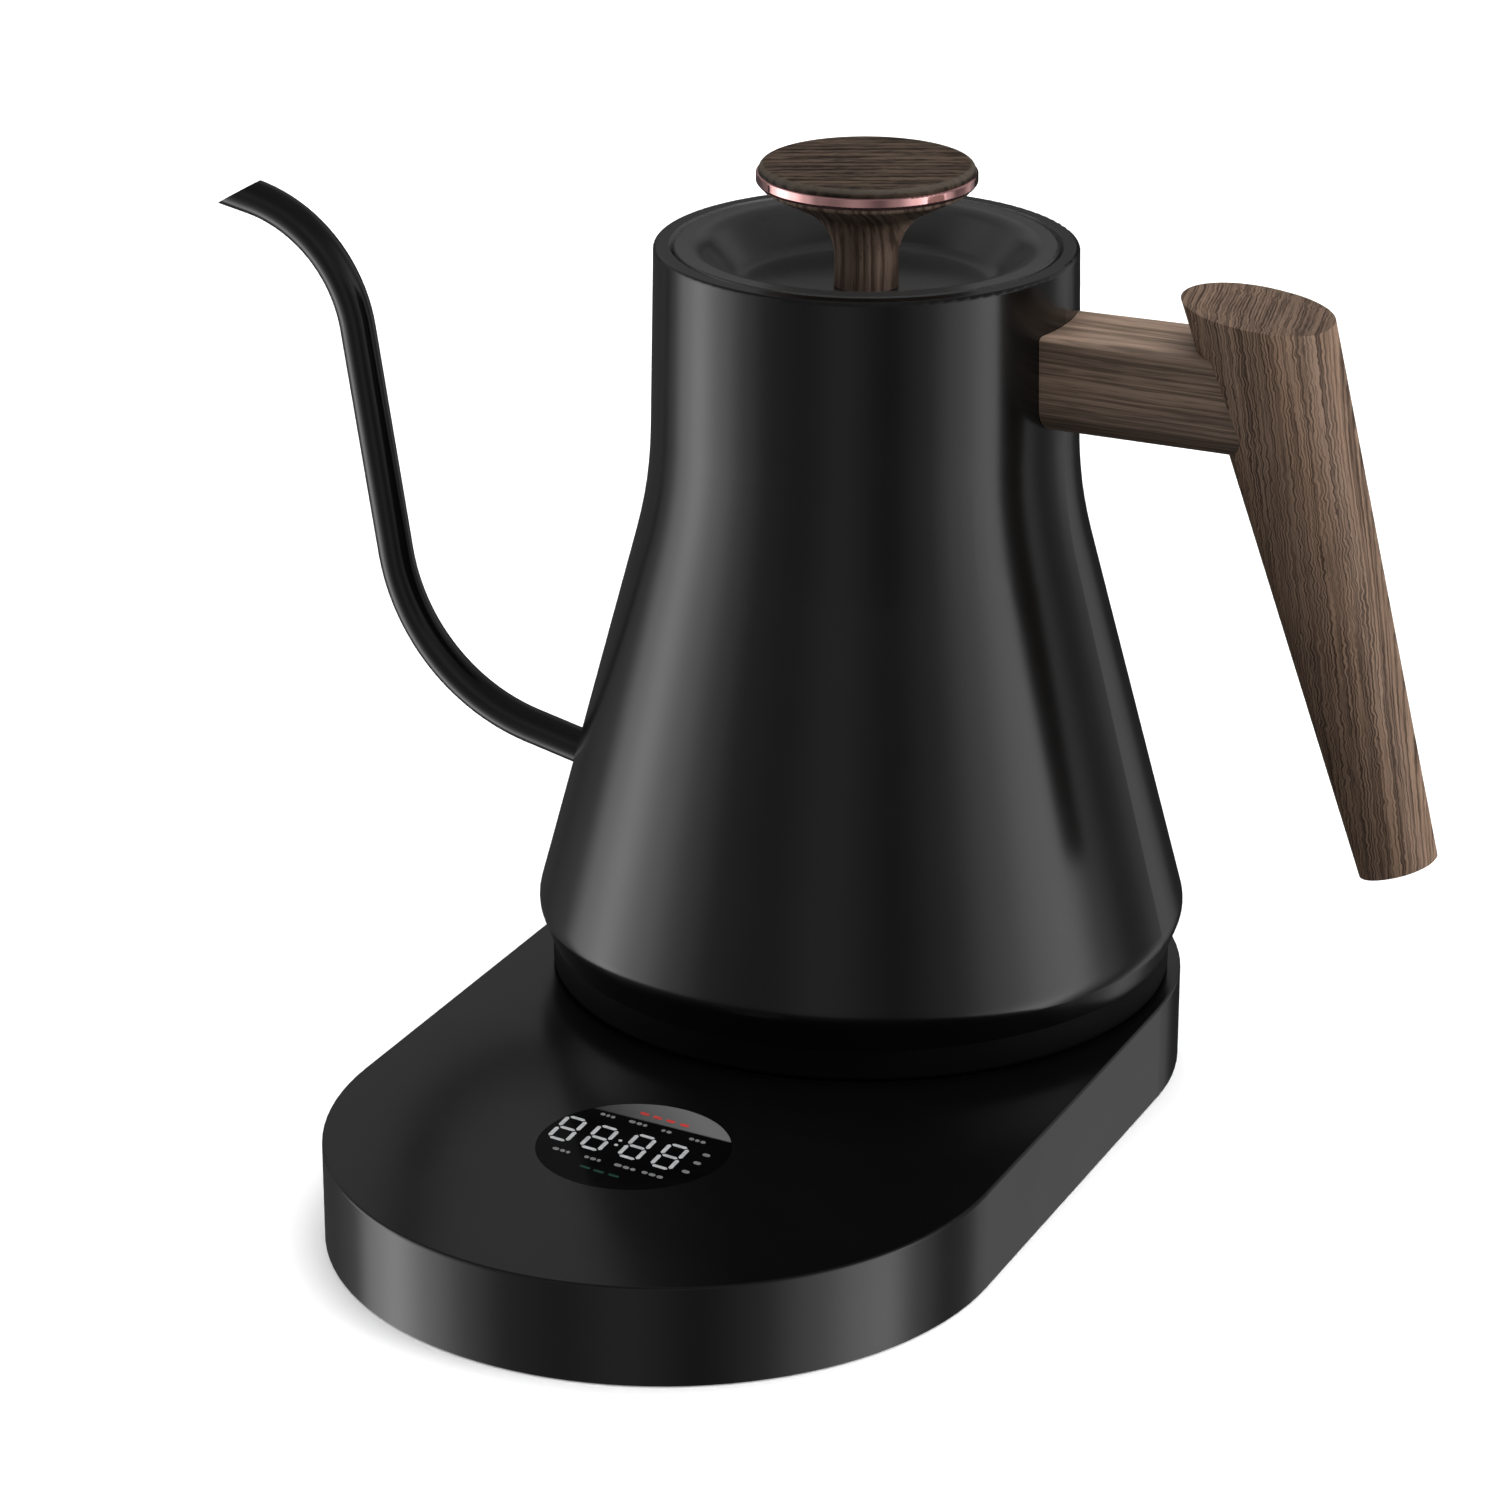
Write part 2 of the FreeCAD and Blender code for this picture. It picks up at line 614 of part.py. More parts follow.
def slanted_cut(name, z, tilt, below):
    """A slab that trims the grip at a height, tilted about Y: above the cut, or below it."""
    reach = 45
    drop = 30 * below
    slab = box(name, "0", 2 * reach, f"-{reach}", reach, "0", "30")
    slab.Placement.Rotation = FreeCAD.Rotation(FreeCAD.Vector(0, 1, 0), size(tilt))
    x_formula = f"{lean(z)} - {reach} * cos({tilt}) - {drop} * sin({tilt})"
    z_formula = f"{z} + {reach} * sin({tilt}) - {drop} * cos({tilt})"
    place(slab, x_formula, f"-{reach}", z_formula)
    return slab


def make_grip_blank():
    """Leaning oval stick, wider at the top, with its top and bottom cut at an angle."""
    sections = []
    for name, z in (("GripHigh", "grip_cut_z + 12"), ("GripLow", "grip_end_z - 12")):
        half = grow("grip_top_half", "grip_low_half", z)
        deep = grow("grip_top_deep", "grip_low_deep", z)
        inner = grow("grip_top_inner", "grip_low_inner", z)
        outer = grow("grip_top_outer", "grip_low_outer", z)
        oval = doc.addObject("Sketcher::SketchObject", name)
        draw(oval, [
            (f"{lean(z)} - ({half})", f"-({deep})", inner),
            (f"{lean(z)} + ({half})", f"-({deep})", outer),
            (f"{lean(z)} + ({half})", deep, outer),
            (f"{lean(z)} - ({half})", deep, inner),
        ])
        place(oval, z=z)
        sections.append(oval)
    stick = doc.addObject("Part::Loft", "GripStick")
    stick.Sections = sections
    stick.Solid = True
    stick.Ruled = False

    top = slanted_cut("GripTopCut", "grip_cut_z", "grip_cut_tilt", 0)
    low = slanted_cut("GripLowCut", "grip_end_z", "grip_end_tilt", 1)
    return cut("GripBlank", stick, top, low)


def make_handle(envelope):
    """Steel bracket on the neck, wooden arm around its tongue, wooden grip on the arm's end."""
    ring = doc.addObject("Part::Cone", "BracketRing")
    bind(
        ring,
        Radius1="waist_rad + 1.5",
        Radius2="rim_rad + 1.5",
        Height="rim_z - waist_z",
    )
    place(ring, z="waist_z")
    patch = box("BracketPatch", "rim_rad - 10", "rim_rad + 6", "-8.5", "8.5",
                "arm_low + 2.2", "arm_high - 2.2")
    plate = common("BracketPlate", patch, ring)
    tongue = box("BracketTongue", "rim_rad - 10", "tenon_reach", "-tenon_half", "tenon_half",
                 "tenon_low", "tenon_high")
    bar = cut("BracketBar", joined("BracketWhole", [plate, tongue]), envelope)
    screw_x = "tenon_reach - 9"
    tapping = cylinder("BracketTapping", "2", "arm_low", "tenon_high + 1", screw_x)
    bracket = cut("HandleBracket", bar, tapping)
    finish(bracket, "handle_bracket")

    screw = screws("HandleScrew", [(screw_x, "0")], "3.4", "arm_low + 0.6", "2",
                   "arm_low + 2.6", "tenon_high - 1")
    finish(screw, "handle_screw")

    dowels = []
    for number, y in enumerate(("-6", "6"), start=1):
        dowel = doc.addObject("Part::Cylinder", f"Dowel{number}")
        bind(dowel, Radius="2.5", Height="22")
        dowel.Placement.Rotation = FreeCAD.Rotation(FreeCAD.Vector(0, 1, 0), 90.0)
        place(dowel, "tenon_reach + 2", y, "(arm_low + arm_high) / 2")
        dowels.append(dowel)
    pair = joined("HandleDowels", dowels)
    finish(pair, "handle_dowels")

    grip_blank = make_grip_blank()
    grip = cut("HandleGrip", grip_blank, pair)
    finish(grip, "handle_grip")

    arm = new_body("ArmBlank")
    plan = sketch_on(arm, "XY_Plane", "ArmPlan", "arm_low")
    draw(plan, [
        ("rim_rad - 10", "-arm_root"),
        ("arm_reach", "-arm_end"),
        ("arm_reach", "arm_end"),
        ("rim_rad - 10", "arm_root"),
    ])
    pad(arm, plan, "arm_high - arm_low")
    doc.recompute()

    def long_edge(edge, height):
        level = all(abs(vertex.Z - height) < 0.01 for vertex in edge.Vertexes)
        ends = [vertex.X for vertex in edge.Vertexes]
        return level and abs(ends[0] - ends[-1]) > 20

    fillet(arm, "arm_round", lambda edge: long_edge(edge, size("arm_low")))
    fillet(arm, "1.2", lambda edge: long_edge(edge, size("arm_high")))
    hole = cylinder("ArmScrewHole", "3.5", "arm_low - 1", "arm_low + 2.6", screw_x)
    way = cylinder("ArmScrewWay", "2", "arm_low - 1", "tenon_high", screw_x)
    neck = make_neck_tool()
    finish(cut("HandleArm", arm, neck, bracket, grip_blank, pair, hole, way), "handle_arm")


def make_neck_tool():
    """The neck's outside, solid and a touch larger than the steel, to seat the arm."""
    neck = doc.addObject("Part::Cone", "NeckTool")
    bind(
        neck,
        Radius1="waist_rad + 0.1",
        Radius2="rim_rad + 0.05",
        Height="rim_z - waist_z",
    )
    place(neck, z="waist_z")
    return neck


# ---- lid ------------------------------------------------------------------------------


def make_lid():
    """Dished steel lid, the cup welded under it and the silicone ring that seats it."""
    cover = [
        ("0", "dish_z"),
        ("dish_rad", "dish_z", "dish_bend"),
        ("lid_flat", "rim_z", "dish_bend"),
        ("lid_rad", "rim_z", "0.6"),
        ("lid_rad", "ledge_z + 1.6"),
        ("lid_rad - lid_thick", "ledge_z + 1.6"),
        ("lid_rad - lid_thick", "rim_z - lid_thick"),
        ("lid_flat + 0.3", "rim_z - lid_thick", "dish_bend - lid_thick"),
        ("dish_rad + 0.3", "dish_z - lid_thick", "dish_bend + lid_thick"),
        ("0", "dish_z - lid_thick"),
    ]
    body = turned("LidCover", cover)
    bore = sketch_on(body, "XY_Plane", "LidBore", "dish_z - 5")
    draw_circle(bore, "0", "0", "2")
    doc.recompute()
    pocket(body, bore, "10", reverse=True)
    finish(body, "lid_cover")

    cup = [
        ("0", "plug_low"),
        ("plug_rad", "plug_low", "1.5"),
        ("plug_rad", "rim_z - lid_thick"),
        ("plug_rad - lid_thick", "rim_z - lid_thick"),
        ("plug_rad - lid_thick", "plug_low + lid_thick"),
        ("0", "plug_low + lid_thick"),
    ]
    finish(turned("LidCup", cup), "lid_cup")

    seal = [
        ("plug_rad", "ledge_z + gap"),
        ("lid_rad - 0.1", "ledge_z + gap", "0.4"),
        ("lid_rad - 0.1", "ledge_z + 1.6"),
        ("plug_rad", "ledge_z + 1.6"),
    ]
    finish(turned("LidSeal", seal), "lid_seal")


def make_knob():
    """Wooden mushroom knob: flared stem, bright metal ring, flat wooden top, one screw."""
    stem = [
        ("2", "dish_z"),
        ("stem_foot", "dish_z"),
        ("stem_rad", "stem_flare_z", "stem_bend"),
        ("flare_rad", "flare_z", "0.8"),
        ("flare_rad + 0.2", "band_low"),
        ("band_core", "band_low"),
        ("band_core", "(band_low + band_high) / 2"),
        ("0", "(band_low + band_high) / 2"),
        ("0", "dish_z + 15"),
        ("2", "dish_z + 15"),
    ]
    finish(turned("KnobStem", stem), "knob_stem")

    band = [
        ("band_core", "band_low"),
        ("band_foot", "band_low", "0.25"),
        ("band_rad", "band_low + band_bevel", "0.5"),
        ("band_rad", "band_high", "0.4"),
        ("band_core", "band_high"),
    ]
    finish(turned("KnobRing", band), "knob_ring")

    top = [
        ("0", "(band_low + band_high) / 2"),
        ("band_core", "(band_low + band_high) / 2"),
        ("band_core", "band_high"),
        ("disc_rad", "band_high"),
        ("disc_rad", "disc_high", "1.5"),
        ("0", "disc_high"),
    ]
    finish(turned("KnobTop", top), "knob_top")

    below = "dish_z - lid_thick"
    finish(tube("KnobWasher", "2", "5", f"{below} - 0.8", below), "knob_washer")
    screw = screws("KnobScrew", [("0", "0")], "3.6", f"{below} - 2.8", "2",
                   f"{below} - 0.8", "dish_z + 14")
    finish(screw, "knob_screw")


# ---- base -----------------------------------------------------------------------------

SIDE_SCREWS = (("52", "30"), ("60", "-49"), ("48", "-133"))
SCREW_PLACES = [(f"{sign}{x}", y) for x, y in SIDE_SCREWS for sign in ("", "-")]
SIDE_FEET = (("42", "44"), ("59", "-30"), ("59", "-80"), ("34", "-147"))
FOOT_PLACES = [("0", "0")] + [(f"{sign}{x}", y) for x, y in SIDE_FEET for sign in ("", "-")]


def make_housing():
    """Painted top shell of the base, with screw bosses and holes for what it holds."""
    body = new_body("BaseHousing")
    plan = sketch_on(body, "XY_Plane", "HousingPlan", "base_lift")
    draw_stadium(plan, "base_rad", "base_reach")
    pad(body, plan, "base_top - base_lift")
    doc.recompute()
    top = size("base_top")
    fillet(body, "0.6", lambda edge: all(abs(v.Z - top) < 0.01 for v in edge.Vertexes))
    hollow = sketch_on(body, "XY_Plane", "HousingHollow")
    draw_stadium(hollow, "base_rad - base_wall", "base_reach")
    doc.recompute()
    pocket(body, hollow, "base_top - base_skin", reverse=True)

    bosses = sketch_on(body, "XY_Plane", "HousingBosses", "plate_low + plate_thick")
    for x, y in SCREW_PLACES:
        draw_circle(bosses, x, y, "boss_rad")
    pad(body, bosses, "base_top - plate_low - plate_thick - base_skin / 2")
    doc.recompute()
    taps = sketch_on(body, "XY_Plane", "HousingTaps")
    for x, y in SCREW_PLACES:
        draw_circle(taps, x, y, "1.5")
    doc.recompute()
    pocket(body, taps, "base_top - base_skin - 2", reverse=True)

    holes = sketch_on(body, "XY_Plane", "HousingHoles")
    draw_circle(holes, "0", "0", "socket_rad + 0.1")
    draw_circle(holes, "display_x", "display_y", "display_rad + 0.1")
    doc.recompute()
    pocket(body, holes, "base_top * 2", reverse=True)
    inlet = sketch_on(body, "XZ_Plane", "HousingInlet", "-base_rad - 5")
    draw_circle(inlet, "0", "inlet_z", "inlet_rad")
    doc.recompute()
    pocket(body, inlet, "15", reverse=True)
    return finish(body, "base_housing")


def make_bottom():
    """Bottom plate with sunk screw heads, its screws and the rubber feet."""
    body = new_body("BasePlate")
    plan = sketch_on(body, "XY_Plane", "PlatePlan", "plate_low")
    draw_stadium(plan, "base_rad - base_wall - 0.2", "base_reach")
    pad(body, plan, "plate_thick")
    doc.recompute()
    holes = sketch_on(body, "XY_Plane", "PlateHoles")
    sinks = sketch_on(body, "XY_Plane", "PlateSinks")
    for x, y in SCREW_PLACES:
        draw_circle(holes, x, y, "1.6")
        draw_circle(sinks, x, y, "3.2")
    doc.recompute()
    pocket(body, holes, "plate_low + plate_thick * 2", reverse=True)
    pocket(body, sinks, "plate_low + 1.7", reverse=True)
    finish(body, "base_plate")

    group = screws("BaseScrews", SCREW_PLACES, "3", "plate_low + 0.1", "1.5",
                   "plate_low + 1.7", "base_top - base_skin - 4")
    finish(group, "base_screws")
    feet = []
    for number, (x, y) in enumerate(FOOT_PLACES, start=1):
        feet.append(cylinder(f"Foot{number}", "foot_pad_rad", "0", "plate_low", x, y))
    finish(joined("RubberFeet", feet), "rubber_feet")


def make_socket():
    """The base's half of the turning connector: boss, ring contact, spring and shutter ring."""
    boss = [
        ("0", "socket_low"),
        ("socket_rad + 2", "socket_low"),
        ("socket_rad + 2", "socket_low + 6"),
        ("socket_flange", "socket_low + 6"),
        ("socket_flange", "base_top - base_skin"),
        ("socket_rad", "base_top - base_skin"),
        ("socket_rad", "socket_top", "0.8"),
        ("blade_well_out", "socket_top"),
        ("blade_well_out", "socket_floor"),
        ("blade_well_in", "socket_floor"),
        ("blade_well_in", "socket_top"),
        ("spring_well_out", "socket_top"),
        ("spring_well_out", "socket_floor"),
        ("spring_well_in", "socket_floor"),
        ("spring_well_in", "socket_top"),
        ("pin_well", "socket_top"),
        ("pin_well", "socket_floor"),
        ("0", "socket_floor"),
    ]
    finish(turned("BaseSocket", boss), "base_socket")

    sleeve = tube("PinSleeve", "pin_rad + gap", "pin_well", "socket_floor", "socket_top - 3")
    ring = tube("RingContact", "blade_well_out - 1", "blade_well_out", "socket_floor",
                "socket_top - 5")
    finish(joined("BaseContacts", [sleeve, ring]), "base_contacts")

    shutter = tube("ConnectorShutter", "shutter_in", "shutter_out", "socket_top - 5",
                   "socket_top - 1")
    finish(shutter, "connector_shutter")
    make_spring()


def make_spring():
    """The coil spring that holds the shutter ring up."""
    low = "socket_floor + spring_wire"
    high = "socket_top - 5 - spring_wire - gap"
    coil = doc.addObject("Part::Helix", "SpringCoil")
    bind(coil, Radius="spring_rad", Height=f"{high} - ({low})", Pitch=f"({high} - ({low})) / 4")
    place(coil, z=low)
    wire = doc.addObject("Part::Circle", "SpringWire")
    bind(wire, Radius="spring_wire")
    wire.Placement.Rotation = FreeCAD.Rotation(FreeCAD.Vector(1, 0, 0), 90.0)
    place(wire, x="spring_rad", z=low)
    doc.recompute()
    spring = doc.addObject("Part::Sweep", "ShutterSpring")
    spring.Sections = [wire]
    spring.Spine = (coil, [f"Edge{n}" for n in range(1, len(coil.Shape.Edges) + 1)])
    spring.Solid = True
    spring.Frenet = True
    finish(spring, "shutter_spring")


def make_display():
    """Round touch glass flush with the base and the lit module under it."""
    glass = cylinder("DisplayGlass", "display_rad", "base_top - glass_thick", "base_top",
                     "display_x", "display_y")
    finish(glass, "display_glass")
    board = cylinder("DisplayBoard", "display_rad - 1", "base_top - glass_thick - 5.6",
                     "base_top - glass_thick - 4", "display_x", "display_y")
    block = box("DisplayBlock", "display_x - 15", "display_x + 15", "display_y - 9",
                "display_y + 9", "base_top - glass_thick - 4", "base_top - glass_thick")
    finish(joined("DisplayModule", [board, block]), "display_module")
    holder = tube("DisplayHolder", "display_rad - 1", "display_rad + 3",
                  "base_top - base_skin - 6", "base_top - base_skin", "display_x", "display_y")
    finish(holder, "display_holder")


def make_electronics():
    """Control board on its posts, with relay, transformer, terminals, capacitor and buzzer."""
    board_low = "plate_low + plate_thick + board_lift"
    board_top = f"{board_low} + board_thick"
    board = box("BoardSheet", "-board_half", "board_half", "board_front", "board_back",
                board_low, board_top)
    finish(board, "control_board")
    posts = []
    corners = [(x, y) for x in ("4 - board_half", "board_half - 4")
               for y in ("board_front + 4", "board_back - 4")]
    for number, (x, y) in enumerate(corners, start=1):
        posts.append(cylinder(f"Post{number}", "2.5", "plate_low + plate_thick", board_low, x, y))
    finish(joined("BoardPosts", posts), "board_posts")

    blocks = (
        ("Relay", "heater_relay", "-36", "-16", "-70", "-54", "10"),
        ("Transformer", "power_transformer", "-8", "10", "-72", "-54", "9.5"),
        ("Terminals", "terminal_block", "-34", "-8", "-48", "-39", "9"),
    )
    for name, label, x_low, x_high, y_low, y_high, height in blocks:
        block = box(name, x_low, x_high, y_low, y_high, board_top, f"{board_top} + {height}")
        finish(block, label)
    cans = (
        ("Capacitor", "filter_capacitor", "5", "24", "-64", "10"),
        ("Buzzer", "buzzer", "6", "26", "-46", "7"),
    )
    for name, label, radius, x, y, height in cans:
        finish(cylinder(name, radius, board_top, f"{board_top} + {height}", x, y), label)


def make_inlet():
    """Bush in the base's back wall that the mains cord would pass through."""
    def across(name, radius, y_low, y_high):
        rod = doc.addObject("Part::Cylinder", name)
        bind(rod, Radius=radius, Height=f"({y_high}) - ({y_low})")
        rod.Placement.Rotation = FreeCAD.Rotation(FreeCAD.Vector(1, 0, 0), -90.0)
        place(rod, "0", y_low, "inlet_z")
        return rod

    inside = "base_rad - base_wall"
    rim = across("InletRim", "inlet_flange", "base_rad", "base_rad + 1.6")
    neck = across("InletNeck", "inlet_rad", f"{inside} - 3", "base_rad + 1")
    nut = across("InletNut", "inlet_flange", f"{inside} - 2.5", f"{inside} - 0.5")
    bore = across("InletBore", "inlet_bore", f"{inside} - 6", "base_rad + 5")
    finish(cut("CordInlet", joined("InletWhole", [rim, neck, nut]), bore), "cord_inlet")


def check_document():
    """Stop if any object failed to compute or any sub-part isn't a sound solid."""
    doc.recompute()
    for item in doc.Objects:
        if "Invalid" in item.State or "Error" in item.State:
            raise RuntimeError(f"{item.Name} failed: {item.State}")
    for item in sub_parts:
        if item.Shape.isNull() or not item.Shape.isValid() or not item.Shape.Solids:
            raise RuntimeError(f"{item.Label} has no valid shape")


def write_parts():
    """Write each sub-part to its own file."""
    os.makedirs("parts", exist_ok=True)
    for item in sub_parts:
        item.Shape.exportStep(f"parts/{item.Label}.step")
        print(f"{item.Label:20s} solids {len(item.Shape.Solids):2d}  volume {item.Shape.Volume:10.1f}")


vessel_envelope = make_envelope()
make_vessel()
make_floor()
make_heater()
make_bottom_cover()
make_plug()
make_spout(vessel_envelope)
make_handle(vessel_envelope)
make_lid()
make_knob()
make_housing()
make_bottom()
make_socket()
make_display()
make_electronics()
make_inlet()
check_document()
write_parts()
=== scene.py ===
import math

import bmesh
import bpy
from mathutils import Matrix, Vector


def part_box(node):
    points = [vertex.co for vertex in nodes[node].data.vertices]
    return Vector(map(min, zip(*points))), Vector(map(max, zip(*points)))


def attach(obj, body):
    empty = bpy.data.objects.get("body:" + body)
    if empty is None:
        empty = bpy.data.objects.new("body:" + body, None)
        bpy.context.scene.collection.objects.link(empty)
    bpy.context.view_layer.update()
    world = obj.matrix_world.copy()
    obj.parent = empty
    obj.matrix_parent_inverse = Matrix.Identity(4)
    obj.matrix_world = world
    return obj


# Gooseneck kettle on its power base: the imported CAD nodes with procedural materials, the lit
# marks of the display, a pale floor and a soft studio. Metres; the kettle's axis is Z.

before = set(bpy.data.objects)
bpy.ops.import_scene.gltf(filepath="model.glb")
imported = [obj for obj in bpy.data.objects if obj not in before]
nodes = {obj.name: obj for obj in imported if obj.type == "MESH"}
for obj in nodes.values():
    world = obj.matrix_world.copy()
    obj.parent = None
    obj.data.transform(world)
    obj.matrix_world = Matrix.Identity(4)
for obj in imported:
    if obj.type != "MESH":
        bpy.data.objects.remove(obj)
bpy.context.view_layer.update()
scene = bpy.context.scene
MM = 0.001


# ---- camera ---------------------------------------------------------------------------

CAMERA_AZIMUTH = math.radians(24.7)
CAMERA_HEIGHT = math.radians(21.35)
CAMERA_PLACE = Vector((0.4052, -0.9397, 0.4699))
LENS = 120.42
SENSOR = 36.0


def make_camera():
    """The photograph's viewpoint: in front, a little to the right and above."""
    data = bpy.data.cameras.new("camera")
    data.lens = LENS
    data.sensor_width = SENSOR
    data.clip_start = 0.01
    data.clip_end = 100.0
    camera = bpy.data.objects.new("camera", data)
    level = math.cos(CAMERA_HEIGHT)
    back = Vector((
        math.sin(CAMERA_AZIMUTH) * level,
        -math.cos(CAMERA_AZIMUTH) * level,
        math.sin(CAMERA_HEIGHT),
    ))
    camera.location = CAMERA_PLACE
    camera.rotation_mode = "QUATERNION"
    camera.rotation_quaternion = (-back).to_track_quat("-Z", "Y")
    scene.collection.objects.link(camera)
    scene.camera = camera


# ---- node helpers ---------------------------------------------------------------------


def add(tree, kind, **settings):
    """A node with its settings."""
    node = tree.nodes.new(kind)
    for name, value in settings.items():
        setattr(node, name, value)
    return node


def feed(tree, socket, value):
    """Link an output to the socket, or set the socket's own value."""
    if isinstance(value, bpy.types.NodeSocket):
        tree.links.new(value, socket)
    else:
        socket.default_value = value


def maths(tree, operation, *values, clamp=False):
    """A Math node's result."""
    node = add(tree, "ShaderNodeMath", operation=operation, use_clamp=clamp)
    for socket, value in zip(node.inputs, values):
        feed(tree, socket, value)
    return node.outputs[0]


def ramp(tree, factor, stops, smooth="LINEAR"):
    """A colour ramp through (place, colour) stops; a single number stands for a grey."""
    node = add(tree, "ShaderNodeValToRGB")
    node.color_ramp.interpolation = smooth
    elements = node.color_ramp.elements
    while len(elements) < len(stops):
        elements.new(0.5)
    for element, (place, colour) in zip(elements, stops):
        element.position = place
        if isinstance(colour, (int, float)):
            colour = (colour, colour, colour)
        element.color = (*colour, 1.0)
    feed(tree, node.inputs["Fac"], factor)
    return node.outputs["Color"]


def blend_colours(tree, factor, first, second, blend="MIX"):
    """Two colours mixed; a plain colour is three numbers."""
    node = add(tree, "ShaderNodeMix", data_type="RGBA", blend_type=blend)
    feed(tree, node.inputs["Factor"], factor)
    for socket, value in ((node.inputs["A"], first), (node.inputs["B"], second)):
        feed(tree, socket, (*value, 1.0) if isinstance(value, tuple) else value)
    return node.outputs["Result"]


def multiplied(tree, first, second):
    """Two colours multiplied."""
    return blend_colours(tree, 1.0, first, second, "MULTIPLY")


def toned(colour, share):
    """A plain colour made darker or lighter."""
    return tuple(part * share for part in colour)


def object_place(tree):
    """The point on the surface in the part's own metres."""
    return add(tree, "ShaderNodeTexCoord").outputs["Object"]


def stretched(tree, vector, scale):
    """A vector scaled along each axis."""
    node = add(tree, "ShaderNodeMapping")
    feed(tree, node.inputs["Vector"], vector)
    node.inputs["Scale"].default_value = scale
    return node.outputs["Vector"]


def separate(tree, vector):
    """A vector's X, Y and Z outputs."""
    node = add(tree, "ShaderNodeSeparateXYZ")
    feed(tree, node.inputs[0], vector)
    return node.outputs


def map_range(tree, value, source, target):
    """A value carried from the source's low and high to the target's, and held there."""
    node = add(tree, "ShaderNodeMapRange")
    feed(tree, node.inputs["Value"], value)
    for name, end in zip(("From Min", "From Max", "To Min", "To Max"), (*source, *target)):
        node.inputs[name].default_value = end
    return node.outputs["Result"]


def noise(tree, vector, scale=1.0, detail=2.0, rough=0.5):
    """Plain noise, 0 to 1."""
    node = add(tree, "ShaderNodeTexNoise")
    feed(tree, node.inputs["Vector"], vector)
    node.inputs["Scale"].default_value = scale
    node.inputs["Detail"].default_value = detail
    node.inputs["Roughness"].default_value = rough
    return node.outputs["Fac"]


def bump(tree, height, depth, strength):
    """A normal from a height field; depth in metres."""
    node = add(tree, "ShaderNodeBump")
    node.inputs["Strength"].default_value = strength
    node.inputs["Distance"].default_value = depth
    feed(tree, node.inputs["Height"], height)
    return node.outputs["Normal"]


def new_material(name):
    """A material, its tree and its main shader."""
    material = bpy.data.materials.new(name)
    material.use_nodes = True
    tree = material.node_tree
    return material, tree, tree.nodes["Principled BSDF"]


# ---- materials ------------------------------------------------------------------------

BLACK = (0.0018, 0.0018, 0.0018)
LID_BLACK = (0.018, 0.018, 0.018)
GLOSS = 0.2
PEEL_SCALE = 1500.0
PEEL_DEPTH = 0.004 * MM
INWARD = -0.004
BARE_METALLIC = 0.6

# Directions of the wood: along the grain, and across its layers.
GRIP_GRAIN, GRIP_ACROSS = (0.16, 0.0, -1.0), (0.98, 0.21, 0.0)
ARM_GRAIN, ARM_ACROSS = (1.0, 0.0, 0.0), (0.0, -0.35, 1.0)
KNOB_GRAIN, KNOB_ACROSS = (0.909, 0.417, 0.0), (-0.417, 0.909, 0.0)
STEM_GRAIN, STEM_ACROSS = (0.0, 0.0, 1.0), (1.0, 0.2, 0.0)
# Across the arm's layers, where a painted shade along its lower edge begins and ends: darker
# towards the bottom.
ARM_PAINTED_SHADE = (0.1585, 0.1475)
HANDLE_DARK = (0.050, 0.028, 0.017)
HANDLE_LIGHT = (0.247, 0.160, 0.109)
ARM_DARK = (0.095, 0.065, 0.046)
ARM_LIGHT = (0.235, 0.163, 0.12)
KNOB_DARK = (0.010, 0.006, 0.004)
KNOB_LIGHT = (0.056, 0.038, 0.026)
# Tone of the painted highlight along the knob top's rounded upper edge.
KNOB_EDGE_HIGHLIGHT = (0.064, 0.052, 0.040)
STEM_DARK = (0.07, 0.045, 0.033)
STEM_LIGHT = (0.21, 0.15, 0.115)

# Scales of the wood's noises across the layers, along the grain and sideways, per metre.
SWAY_SCALE = (25.0, 14.0, 40.0)
SWAY_DEPTH = 4.0 * MM
RIPPLE_SCALE = (420.0, 520.0, 420.0)
RIPPLE_SIDES = (4.0 * MM, 9.0 * MM)
BAND_SCALE = (120.0, 5.0, 25.0)
PORE_SCALE = (3600.0, 110.0, 3600.0)
WOOD_RELIEF = 0.1 * MM


def satin(tree, place, colour, rough):
    """Satin paint's colour, roughness and normal: slightly uneven, with a fine orange peel."""
    patches = noise(tree, place, 30.0, 3.0)
    tone = ramp(tree, patches, ((0.3, toned(colour, 0.85)), (0.7, toned(colour, 1.15))))
    smears = noise(tree, place, 60.0, 4.0)
    spread = ramp(tree, smears, ((0.3, rough - 0.015), (0.7, rough + 0.015)))
    peel = noise(tree, place, PEEL_SCALE, 1.0)
    return tone, spread, bump(tree, peel, PEEL_DEPTH, 0.5)


def painted(name, colour, rough):
    """Satin paint all over."""
    material, tree, shader = new_material(name)
    layers = satin(tree, object_place(tree), colour, rough)
    for socket, value in zip(("Base Color", "Roughness", "Normal"), layers):
        feed(tree, shader.inputs[socket], value)
    return material


def assign(material, *names):
    """Give the material to CAD nodes."""
    for name in names:
        data = nodes[name].data
        data.materials.clear()
        data.materials.append(material)


def grain_frame(tree, along, across):
    """The place turned so that X runs across the layers and Y along the grain."""
    along = Vector(along).normalized()
    across = Vector(across)
    across = (across - along * across.dot(along)).normalized()
    third = across.cross(along)
    turn = Matrix((across, along, third)).to_euler("XYZ")
    node = add(tree, "ShaderNodeMapping")
    feed(tree, node.inputs["Vector"], object_place(tree))
    node.inputs["Rotation"].default_value = turn
    return node.outputs["Vector"]


